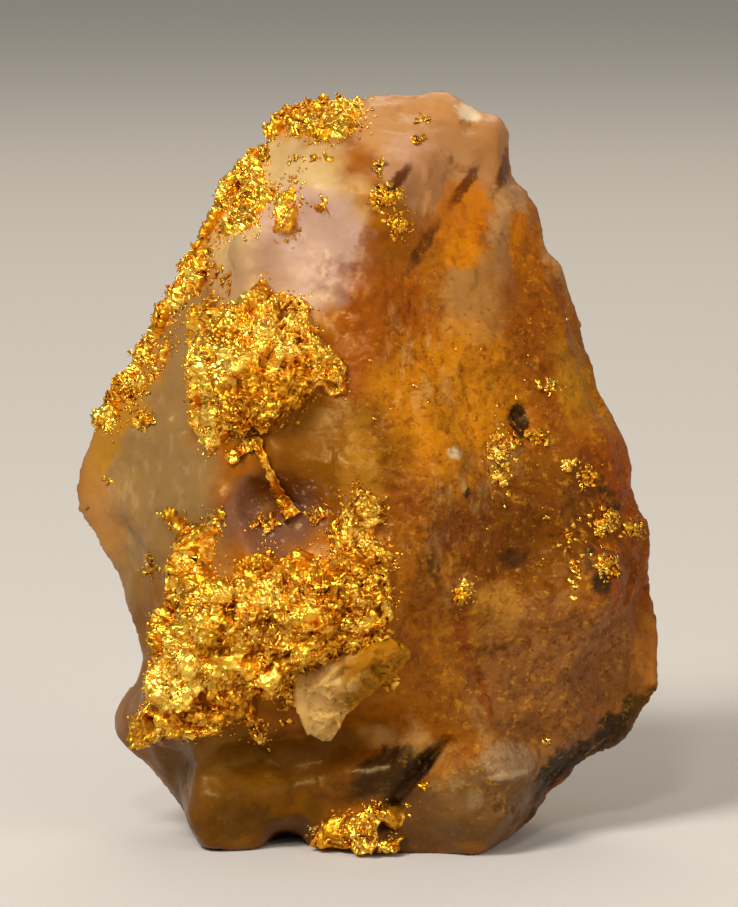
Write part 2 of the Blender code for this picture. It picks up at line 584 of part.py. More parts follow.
def main():
    """Clears the scene and builds the piece."""
    for old in list(bpy.data.objects):
        bpy.data.objects.remove(old)
    group = bpy.data.collections.new(COLLECTION)
    bpy.context.scene.collection.children.link(group)
    stone = closed_and_lightened("quartz", fine_stone(), QUARTZ_VOXEL, QUARTZ_TRIANGLES)
    cut_off(stone, underside_planes())
    skin = skin_of(stone)
    mesh_object("quartz", stone, material("quartz", QUARTZ), group)
    build_gold(skin, material("gold", GOLD), material("pale_quartz", PALE_QUARTZ), group)


main()
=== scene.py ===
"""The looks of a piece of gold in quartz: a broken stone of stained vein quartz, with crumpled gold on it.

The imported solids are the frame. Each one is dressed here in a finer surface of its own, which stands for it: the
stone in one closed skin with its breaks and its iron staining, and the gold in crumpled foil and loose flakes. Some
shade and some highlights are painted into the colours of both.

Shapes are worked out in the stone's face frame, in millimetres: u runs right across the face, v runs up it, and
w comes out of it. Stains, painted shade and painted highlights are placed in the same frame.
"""

import logging
import math
from dataclasses import dataclass, field
from enum import Enum
from typing import Any

import bmesh
import bpy
import numpy as np
from mathutils import Matrix, Vector, kdtree, noise
from mathutils.bvhtree import BVHTree


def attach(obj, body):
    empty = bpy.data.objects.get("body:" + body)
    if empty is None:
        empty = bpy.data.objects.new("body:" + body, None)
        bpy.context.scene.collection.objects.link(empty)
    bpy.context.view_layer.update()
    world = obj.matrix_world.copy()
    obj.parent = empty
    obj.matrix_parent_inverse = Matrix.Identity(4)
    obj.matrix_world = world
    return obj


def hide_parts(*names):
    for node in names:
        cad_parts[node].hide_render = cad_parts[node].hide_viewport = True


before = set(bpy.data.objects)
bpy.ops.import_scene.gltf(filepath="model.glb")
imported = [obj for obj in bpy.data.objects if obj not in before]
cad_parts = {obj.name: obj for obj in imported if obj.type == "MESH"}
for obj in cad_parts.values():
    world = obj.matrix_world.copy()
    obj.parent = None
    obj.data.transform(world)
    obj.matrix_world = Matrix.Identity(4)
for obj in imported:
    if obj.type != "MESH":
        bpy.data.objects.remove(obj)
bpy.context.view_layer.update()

LOG = logging.getLogger("gold_in_quartz")
BODY = "root"
MM_PER_M = 1000.0

# Words for the type hints: pairs and triples of numbers, a mesh's points with its faces, a node's output, and what
# may be either such an output or a fixed number or colour.
Pair = tuple[float, float]
Triple = tuple[float, float, float]
Colour = Triple
Surface = tuple[np.ndarray, np.ndarray]
Socket = bpy.types.NodeSocket
Number = Socket | float
Shade = Socket | Colour


def paint(red: int, green: int, blue: int) -> Colour:
    """Turns a display colour into a linear one.

    Args:
        red: The red share, from 0 to 255.
        green: The green share.
        blue: The blue share.

    Returns:
        The linear colour, each share from 0 to 1.
    """
    shares = (value / 255 for value in (red, green, blue))
    return tuple(s / 12.92 if s <= 0.04045 else ((s + 0.055) / 1.055) ** 2.4 for s in shares)


# --------------------------------------------------------------------------------------------- the face frame


@dataclass(frozen=True)
class FaceFrame:
    """Where the stone's face frame lies in the row frame.

    Attributes:
        lean: How far the face leans back from upright, in radians.
        seat: Height of the underside in the face frame, in millimetres.
        shift: How far the stone is moved in x and y, in millimetres.
    """

    lean: float = math.radians(8)
    seat: float = 0.6
    shift: Pair = (0.08, -0.70)

    @property
    def up(self) -> Vector:
        """The row frame's direction of v."""
        return Vector((0, math.sin(self.lean), math.cos(self.lean)))

    @property
    def out(self) -> Vector:
        """The row frame's direction of w."""
        return Vector((0, -math.cos(self.lean), math.sin(self.lean)))

    def to_row(self) -> Matrix:
        """Works out how the face frame lies in the row frame.

        Returns:
            The matrix from the face frame, in millimetres, to the row frame, in metres.
        """
        turn = Matrix((Vector((1, 0, 0)), self.up, self.out)).transposed().to_4x4()
        move = Matrix.Translation((*self.shift, -self.seat))
        return Matrix.Scale(1 / MM_PER_M, 4) @ move @ turn

    def to_face(self) -> Matrix:
        """The matrix from the row frame, in metres, to the face frame, in millimetres."""
        return self.to_row().inverted()


FACE = FaceFrame()


# --------------------------------------------------------------------------------------------- working on meshes


def rows_of(items: bpy.types.bpy_prop_collection, name: str) -> np.ndarray:
    """Reads a vector of each of a mesh's elements.

    Args:
        items: The elements.
        name: What to read.

    Returns:
        The vectors, one row each.
    """
    flat = np.empty(len(items) * 3, np.float32)
    items.foreach_get(name, flat)
    return flat.reshape(-1, 3).astype(float)


def points_of(mesh: bpy.types.Mesh) -> np.ndarray:
    """The places of a mesh's vertices, one row each."""
    return rows_of(mesh.vertices, "co")


def normals_of(mesh: bpy.types.Mesh) -> np.ndarray:
    """The unit normals of a mesh's vertices, one row each."""
    return rows_of(mesh.vertex_normals, "vector")


def move_to(mesh: bpy.types.Mesh, points: np.ndarray) -> None:
    """Puts a mesh's vertices where the rows of points say.

    Args:
        mesh: The mesh to change.
        points: One row for each vertex.
    """
    mesh.vertices.foreach_set("co", points.astype(np.float32).ravel())
    mesh.update()


def even_solid(node: str, voxel: float) -> bpy.types.Mesh:
    """Takes a node's solid into the face frame, as one even closed surface.

    Args:
        node: The node.
        voxel: The size of a face, in millimetres.

    Returns:
        The surface, as a mesh of its own.
    """
    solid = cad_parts[node].data.copy()
    solid.transform(FACE.to_face())
    source = bpy.data.objects.new("even_source", solid)
    bpy.context.scene.collection.objects.link(source)
    modifier = source.modifiers.new("even", "REMESH")
    modifier.mode = "VOXEL"
    modifier.voxel_size = voxel
    graph = bpy.context.evaluated_depsgraph_get()
    made = bpy.data.meshes.new_from_object(source.evaluated_get(graph))
    bpy.data.objects.remove(source)
    bpy.data.meshes.remove(solid)
    return made


def smoothed(mesh: bpy.types.Mesh, rounds: int) -> np.ndarray:
    """Evens out a mesh's points over their neighbours.

    Args:
        mesh: The mesh, which stays as it is.
        rounds: How many times each point moves halfway to the middle of its neighbours.

    Returns:
        The evened-out points.
    """
    edges = np.empty(len(mesh.edges) * 2, np.int32)
    mesh.edges.foreach_get("vertices", edges)
    first, second = edges.reshape(-1, 2).T
    points = points_of(mesh)
    count = np.bincount(edges, minlength=len(points))[:, None]
    for _ in range(rounds):
        sums = [
            np.bincount(first, axis[second], len(axis)) + np.bincount(second, axis[first], len(axis))
            for axis in points.T
        ]
        points = (points + np.stack(sums, axis=1) / count) / 2
    return points


def unevenness(points: np.ndarray, size: float, octaves: int, seed: int) -> np.ndarray:
    """Fractal noise of about -1 to 1.

    Args:
        points: Where to read it, one row each.
        size: The size of its largest features, in millimetres.
        octaves: How many finer layers it has.
        seed: Which noise it is.

    Returns:
        One value for each point.
    """
    start = Vector((seed * 7.3, seed * 3.1, seed * 5.7))
    return np.array([noise.fractal(Vector(p) / size + start, 1.0, 2.0, octaves) for p in points])


def smooth_step(values: np.ndarray, low: float, high: float) -> np.ndarray:
    """0 below low, 1 above high, and an S curve between.

    Args:
        values: What to grade.
        low: Where it starts to rise.
        high: Where it is 1.

    Returns:
        The graded values.
    """
    share = np.clip((values - low) / (high - low), 0.0, 1.0)
    return share * share * (3 - 2 * share)


class Break(Enum):
    """How neighbouring facets meet: hollow ones in ridges, or raised ones in creases."""

    SHELLS = 1
    SCALES = -1


@dataclass(frozen=True)
class Facets:
    """Many small facets, each a tilted and slightly curved patch round a seed of its own.

    Attributes:
        spacing: About how far apart the seeds lie, in millimetres.
        depth: How much the patches differ in height.
        tilt: How steeply they lean, as a rise per millimetre.
        curve: How strongly they curve, as a rise per square millimetre.
        kind: Whether they meet in ridges or in creases.
        seed: Which set of facets it is.
        stretch: How many times longer they are along u, v and w.
        near: How many of the nearest seeds count at a point.
    """

    spacing: float
    depth: float
    tilt: float
    curve: float
    kind: Break
    seed: int
    stretch: Triple = (1.0, 1.0, 1.0)
    near: int = 4

    def heights(self, points: np.ndarray) -> np.ndarray:
        """Works out how high each point stands on its facet.

        Args:
            points: The points, one row each, which lie much closer together than the seeds.

        Returns:
            The heights, with a middle value of 0.
        """
        random = np.random.default_rng(self.seed)
        places = points / np.array(self.stretch)
        seeds = self.spread(places, random)
        offsets = random.uniform(0.0, self.depth, len(seeds))
        leans = random.normal(0.0, self.tilt, (len(seeds), 3))
        tree = kdtree.KDTree(len(seeds))
        for index, place in enumerate(seeds):
            tree.insert(place, index)
        tree.balance()
        nearest = np.array([[found[1] for found in tree.find_n(place, self.near)] for place in places])
        away = places[:, None, :] - seeds[nearest]
        patches = offsets[nearest] + (away * leans[nearest]).sum(axis=2) + self.curve * (away**2).sum(axis=2)
        heights = self.kind.value * patches.min(axis=1)
        return heights - np.median(heights)

    def spread(self, places: np.ndarray, random: np.random.Generator) -> np.ndarray:
        """Picks seeds among the points, about one spacing apart.

        Args:
            places: The points to pick from.
            random: The source of chance.

        Returns:
            The seeds, one row each.
        """
        cells = np.floor(places / self.spacing).astype(int)
        order = random.permutation(len(places))
        _, first = np.unique(cells[order], axis=0, return_index=True)
        return places[order[first]]


# One side of a plate: its corners, row by row, the faces that they make, and the way round its edge.
PLATE_CORNERS = tuple((x, y) for y in (-0.5, 0.5) for x in (-0.5, 0.0, 0.5))
PLATE_TOP = ((0, 1, 4, 3), (1, 2, 5, 4))
PLATE_EDGE = (0, 1, 2, 5, 4, 3)


def plate_faces() -> np.ndarray:
    """Works out the faces of one plate. Its first points are its top, and the others lie under them.

    Returns:
        Two faces on top, two below and six round its edge, as rows of four point numbers.
    """
    below = len(PLATE_CORNERS)
    under = [tuple(corner + below for corner in reversed(face)) for face in PLATE_TOP]
    sides = zip(PLATE_EDGE, PLATE_EDGE[1:] + PLATE_EDGE[:1])
    return np.array([*PLATE_TOP, *under, *((a + below, b + below, b, a) for a, b in sides)])


@dataclass(frozen=True)
class Foil:
    """Small bent plates of foil that lie about on a surface.

    Attributes:
        size: The least and the greatest length of a plate, in millimetres.
        lift: How far above its place a plate's middle lies.
        tilt: How strongly the plates lean out of the surface, as a slope.
        upright: How strongly they are drawn out up the face.
        thickness: How thick they are.
        width: Their least and greatest width, as a share of their length.
        bend: How strongly they are bent, as a share of their length.
        twist: How strongly they are twisted, as a share of their length.
        ragged: How far their corners stray, as a share of their length or width.
    """

    size: Pair
    lift: float = 0.02
    tilt: float = 0.28
    upright: float = 0.0
    thickness: float = 0.022
    width: Pair = (0.45, 1.0)
    bend: float = 0.35
    twist: float = 0.25
    ragged: float = 0.3

    def plates(self, places: np.ndarray, normals: np.ndarray, random: np.random.Generator) -> Surface:
        """Makes a plate at each place.

        Args:
            places: Where the plates lie, one row each.
            normals: Which way the surface under them faces.
            random: The source of chance.

        Returns:
            The points of all the plates and their faces.
        """
        count = len(places)
        normals = normals + random.normal(0.0, self.tilt, (count, 3))
        normals /= np.linalg.norm(normals, axis=1)[:, None]
        along = random.normal(size=(count, 3)) + np.array([0.0, self.upright, 0.0])
        along -= normals * (along * normals).sum(axis=1)[:, None]
        along /= np.linalg.norm(along, axis=1)[:, None]
        across = np.cross(normals, along)
        length = random.uniform(*self.size, count)
        width = length * random.uniform(*self.width, count)
        bend = random.normal(0.0, self.bend, count) * length
        twist = random.normal(0.0, self.twist, count) * length
        stray = 1.0 + random.uniform(-self.ragged, self.ragged, (2, len(PLATE_CORNERS), count))
        rows = []
        for side in (0.5, -0.5):
            for corner, (x, y) in enumerate(PLATE_CORNERS):
                rise = self.lift + side * self.thickness + bend * x * x * 4 + twist * x * y * 2
                rows.append(
                    places
                    + along * (x * length * stray[0, corner])[:, None]
                    + across * (y * width * stray[1, corner])[:, None]
                    + normals * rise[:, None]
                )
        faces = np.arange(count)[:, None, None] * len(rows) + plate_faces()[None]
        return np.stack(rows, axis=1).reshape(-1, 3), faces.reshape(-1, 4)


def joined(name: str, parts: list[Surface]) -> bpy.types.Mesh:
    """Makes one mesh of several sets of points and four-sided faces.

    Args:
        name: The mesh's name.
        parts: The points and the faces of each set.

    Returns:
        The mesh.
    """
    points, faces, start = [], [], 0
    for part_points, part_faces in parts:
        points.append(part_points)
        faces.append(part_faces + start)
        start += len(part_points)
    points, faces = np.concatenate(points), np.concatenate(faces)
    mesh = bpy.data.meshes.new(name)
    mesh.vertices.add(len(points))
    mesh.vertices.foreach_set("co", points.astype(np.float32).ravel())
    mesh.loops.add(faces.size)
    mesh.loops.foreach_set("vertex_index", faces.astype(np.int32).ravel())
    mesh.polygons.add(len(faces))
    mesh.polygons.foreach_set("loop_start", np.arange(0, faces.size, 4, dtype=np.int32))
    mesh.update(calc_edges=True)
    mesh.validate()
    return mesh


def place_piece(mesh: bpy.types.Mesh, name: str, finish: bpy.types.Material) -> bpy.types.Object:
    """Puts a mesh of the face frame in its place as a piece of the object.

    Args:
        mesh: The mesh, in millimetres of the face frame.
        name: The piece's name.
        finish: Its material.

    Returns:
        The piece.
    """
    mesh.transform(FACE.to_row())
    mesh.materials.clear()
    mesh.materials.append(finish)
    mesh.name = name
    piece = bpy.data.objects.new(name, mesh)
    bpy.context.scene.collection.objects.link(piece)
    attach(piece, BODY)
    LOG.info("%s: %d faces", name, len(mesh.polygons))
    return piece


# --------------------------------------------------------------------------------------------- finishes


@dataclass(frozen=True)
class Cloud:
    """Cloudy noise, graded so that clear places are left between its patches.

    Attributes:
        size: The size of its features, in millimetres.
        low: The noise at which a patch starts.
        high: The noise at which it is full.
        shift: Moves it, so that two clouds differ.
        detail: How many finer layers it has.
        roughness: How strong they are.
        squeeze: What places are multiplied by along u, v and w, if its features are drawn out.
    """

    size: float
    low: float
    high: float
    shift: float = 0.0
    detail: float = 3.0
    roughness: float = 0.6
    squeeze: Triple | None = None


class Cover(Enum):
    """How a stain covers its place: all of it, or only where there is a cloud."""

    WHOLE = None
    PATCHY = Cloud(0.9, 0.42, 0.60, 5.0)
    SPECKLED = Cloud(0.22, 0.60, 0.70, 9.0, 2.0, 0.5)
    FLECKED = Cloud(0.34, 0.60, 0.72, 71.0, 4.0)
    STREAKED = Cloud(0.45, 0.50, 0.66, 27.0, 4.0, squeeze=(1.0, 0.36, 0.5))


class Border(Enum):
    """How ragged a stain's border is: how far it wanders, in millimetres, and over what distance."""

    SOFT = (1.5, 2.4)
    RAGGED = (0.75, 0.9)
    CRISP = (0.22, 0.4)


@dataclass(frozen=True)
class Mark:
    """One mark: a stained place, a vein or a clear patch, or a painted highlight or painted shade.

    Attributes:
        name: What it is.
        middle: Its middle, as (u, v).
        half: Its half widths.
        turn: How far it is turned, in degrees.
        colour: Its colour.
        strength: How much it covers what is under it.
        edge: How much of it fades out, from 0 to 1.
        border: How its border wanders.
        cover: How it covers its place.
    """

    name: str
    middle: Pair
    half: Pair
    turn: float
    colour: Colour
    strength: float = 1.0
    edge: float = 0.5
    border: Border = Border.SOFT
    cover: Cover = Cover.WHOLE


@dataclass(frozen=True)
class Layer:
    """A colour that lies over the ones before it wherever there is a cloud.

    Attributes:
        colour: The colour.
        strength: How much it covers what is under it.
        cloud: Where it lies.
    """

    colour: Colour
    strength: float
    cloud: Cloud


class Graph:
    """The node tree of one material, with a call for each thing that a finish is made of."""

    def __init__(self, name: str) -> None:
        """Starts a material.

        Args:
            name: The material's name.
        """
        self.material = bpy.data.materials.new(name)
        self.material.use_nodes = True
        self.tree = self.material.node_tree
        self.shader = self.tree.nodes["Principled BSDF"]

    def feed(self, node: bpy.types.Node, inputs: dict[int | str, Any]) -> None:
        """Gives a node its inputs.

        Args:
            node: The node.
            inputs: What each input is: a fixed value, or another node's output.
        """
        for key, value in inputs.items():
            if isinstance(value, Socket):
                self.tree.links.new(value, node.inputs[key])
            else:
                node.inputs[key].default_value = value

    def add(self, kind: str, inputs: dict[int | str, Any], **settings: str) -> bpy.types.Node:
        """Adds a node.

        Args:
            kind: The node's type, without the words ShaderNode.
            inputs: What each input is: a fixed value, or another node's output.
            settings: The node's own settings.

        Returns:
            The node.
        """
        node = self.tree.nodes.new("ShaderNode" + kind)
        for name, value in settings.items():
            setattr(node, name, value)
        self.feed(node, inputs)
        return node

    def math(self, operation: str, *values: Number) -> Socket:
        """A number worked out from others.

        Args:
            operation: What to do with them.
            values: The numbers, or the outputs that give them.

        Returns:
            The result.
        """
        return self.add("Math", dict(enumerate(values)), operation=operation).outputs[0]

    def vector(self, operation: str, *values: Socket | Triple) -> Socket:
        """A vector worked out from others.

        Args:
            operation: What to do with them.
            values: The vectors, or the outputs that give them.

        Returns:
            The result.
        """
        return self.add("VectorMath", dict(enumerate(values)), operation=operation).outputs[0]

    def dot(self, first: Socket | Triple, second: Socket | Triple) -> Socket:
        """The dot product of two vectors."""
        return self.add("VectorMath", {0: first, 1: second}, operation="DOT_PRODUCT").outputs["Value"]

    def scaled(self, vector: Socket, factor: float) -> Socket:
        """A vector made longer or shorter."""
        return self.add("VectorMath", {0: vector, "Scale": factor}, operation="SCALE").outputs[0]

    def graded(self, value: Number, low: float, high: float, start: float = 0.0, end: float = 1.0) -> Socket:
        """A value that runs in an S curve from start, at low, to end, at high.

        Args:
            value: The output to grade.
            low: Where it starts to change.
            high: Where it has changed.
            start: What it is up to low.
            end: What it is from high on.

        Returns:
            The result.
        """
        inputs = {"Value": value, "From Min": low, "From Max": high, "To Min": start, "To Max": end}
        return self.add("MapRange", inputs, interpolation_type="SMOOTHSTEP").outputs[0]

    def mixed(self, factor: Number, first: Shade, second: Shade, blend: str = "MIX") -> Socket:
        """A colour between two others.

        Args:
            factor: How much of the second there is.
            first: The colour at 0.
            second: The colour at 1.
            blend: How they are laid over each other.

        Returns:
            The result.
        """
        ends = [value if isinstance(value, Socket) else (*value, 1.0) for value in (first, second)]
        inputs = {0: factor, 6: ends[0], 7: ends[1]}
        return self.add("Mix", inputs, data_type="RGBA", blend_type=blend).outputs[2]

    def noise(
        self, place: Socket, size: float, detail: float = 4.0, roughness: float = 0.55, shift: float = 0.0
    ) -> tuple[Socket, Socket]:
        """Cloudy noise of 0 to 1 with features of a size in millimetres.

        Args:
            place: Where it is read.
            size: The size of its features.
            detail: How many finer layers it has.
            roughness: How strong they are.
            shift: Moves it, so that two noises differ.

        Returns:
            The noise as a number, and as a colour.
        """
        if shift:
            place = self.vector("ADD", place, (shift, shift * 0.7, shift * 1.3))
        inputs = {"Vector": place, "Scale": 1.0 / size, "Detail": detail, "Roughness": roughness}
        return tuple(self.add("TexNoise", inputs).outputs[:2])

    def cloud(self, place: Socket, cloud: Cloud, start: float = 0.0, end: float = 1.0) -> Socket:
        """How full a cloud is at each point.

        Args:
            place: Where it is read.
            cloud: The cloud.
            start: The result in its clear places.
            end: The result where it is full.

        Returns:
            The result.
        """
        if cloud.squeeze:
            place = self.vector("MULTIPLY", place, cloud.squeeze)
        value, _ = self.noise(place, cloud.size, cloud.detail, cloud.roughness, cloud.shift)
        return self.graded(value, cloud.low, cloud.high, start, end)

    def layered(
        self, place: Socket, colour: Socket, layer: Layer, share: Socket | None = None, blend: str = "MIX"
    ) -> Socket:
        """Lays a colour over another wherever there is a cloud.

        Args:
            place: Where the cloud is read.
            colour: The colour under it.
            layer: The colour and its cloud.
            share: How much of the cloud there is, if not all of it.
            blend: How the colour is laid over the other.

        Returns:
            The result.
        """
        factor = self.cloud(place, layer.cloud)
        if share:
            factor = self.math("MULTIPLY", factor, share)
        return self.mixed(self.math("MULTIPLY", factor, layer.strength), colour, layer.colour, blend)

    def ellipse(self, place: list[Socket], mark: Mark) -> Socket:
        """How much a stain covers each point: all of its ellipse, less and less towards its border.

        Args:
            place: The u and v of the point.
            mark: The stain.

        Returns:
            The share that it covers.
        """
        turn = math.radians(mark.turn)
        axes = ((math.cos(turn), math.sin(turn)), (-math.sin(turn), math.cos(turn)))
        squares = None
        for shares, half in zip(axes, mark.half):
            part = -sum(share * middle for share, middle in zip(shares, mark.middle)) / half
            for share, along in zip(shares, place):
                if share:
                    part = self.math("MULTIPLY_ADD", along, share / half, part)
            more = ("MULTIPLY_ADD", part, part, squares) if squares else ("MULTIPLY", part, part)
            squares = self.math(*more)
        inner, outer = (1.0 - mark.edge) ** 2, (1.0 + mark.edge / 2) ** 2
        return self.graded(squares, inner, outer, mark.strength, 0.0)

    def facets(self, place: Socket, size: float, tilt: float) -> Socket:
        """The height of small facets that each lean their own way, so that some of them catch the light.

        Args:
            place: Where it is read.
            size: The size of a facet, in millimetres.
            tilt: How steeply they lean, as a slope.

        Returns:
            The height, in millimetres.
        """
        cells = self.add("TexVoronoi", {"Vector": place, "Scale": 1.0 / size, "Randomness": 1.0}).outputs
        lean = self.vector("SUBTRACT", cells["Color"], (0.5, 0.5, 0.5))
        away = self.vector("SUBTRACT", place, cells["Position"])
        return self.math("MULTIPLY", self.dot(away, lean), 2.0 * tilt)

    def raised(self, height: Socket, strength: Number = 1.0) -> None:
        """Bends the shader's normal as if the surface stood up by a height.

        Args:
            height: The height, in millimetres.
            strength: How much of it shows.
        """
        bump = self.add("Bump", {"Height": height, "Strength": strength, "Distance": 1 / MM_PER_M})
        self.feed(self.shader, {"Normal": bump.outputs[0]})

    def face_place(self) -> tuple[Socket, list[Socket]]:
        """Where a point lies in the face frame, in millimetres.

        Returns:
            The place as one output, and its u, v and w.
        """
        own = self.add("TexCoord", {}).outputs["Object"]
        moved = self.vector("SUBTRACT", self.scaled(own, MM_PER_M), (*FACE.shift, -FACE.seat))
        parts = [self.dot(moved, tuple(axis)) for axis in ((1, 0, 0), FACE.up, FACE.out)]
        return self.add("CombineXYZ", dict(enumerate(parts))).outputs[0], parts


QUARTZ_IOR = 1.54

GREY = paint(148, 110, 66)
LILAC = paint(200, 158, 148)
PEACH = paint(198, 138, 86)
PALE = paint(184, 130, 72)
AMBER = paint(168, 92, 6)
DEEP_AMBER = paint(126, 65, 5)
GOLDEN = paint(186, 116, 24)
ORANGE = paint(192, 104, 2)
RUST = paint(132, 60, 14)
BROWN = paint(92, 42, 12)
STREAK = paint(84, 30, 4)
PINK_BROWN = paint(132, 77, 36)
UMBER = paint(54, 28, 12)
BLACK = paint(30, 22, 18)
PLUM = paint(124, 80, 62)
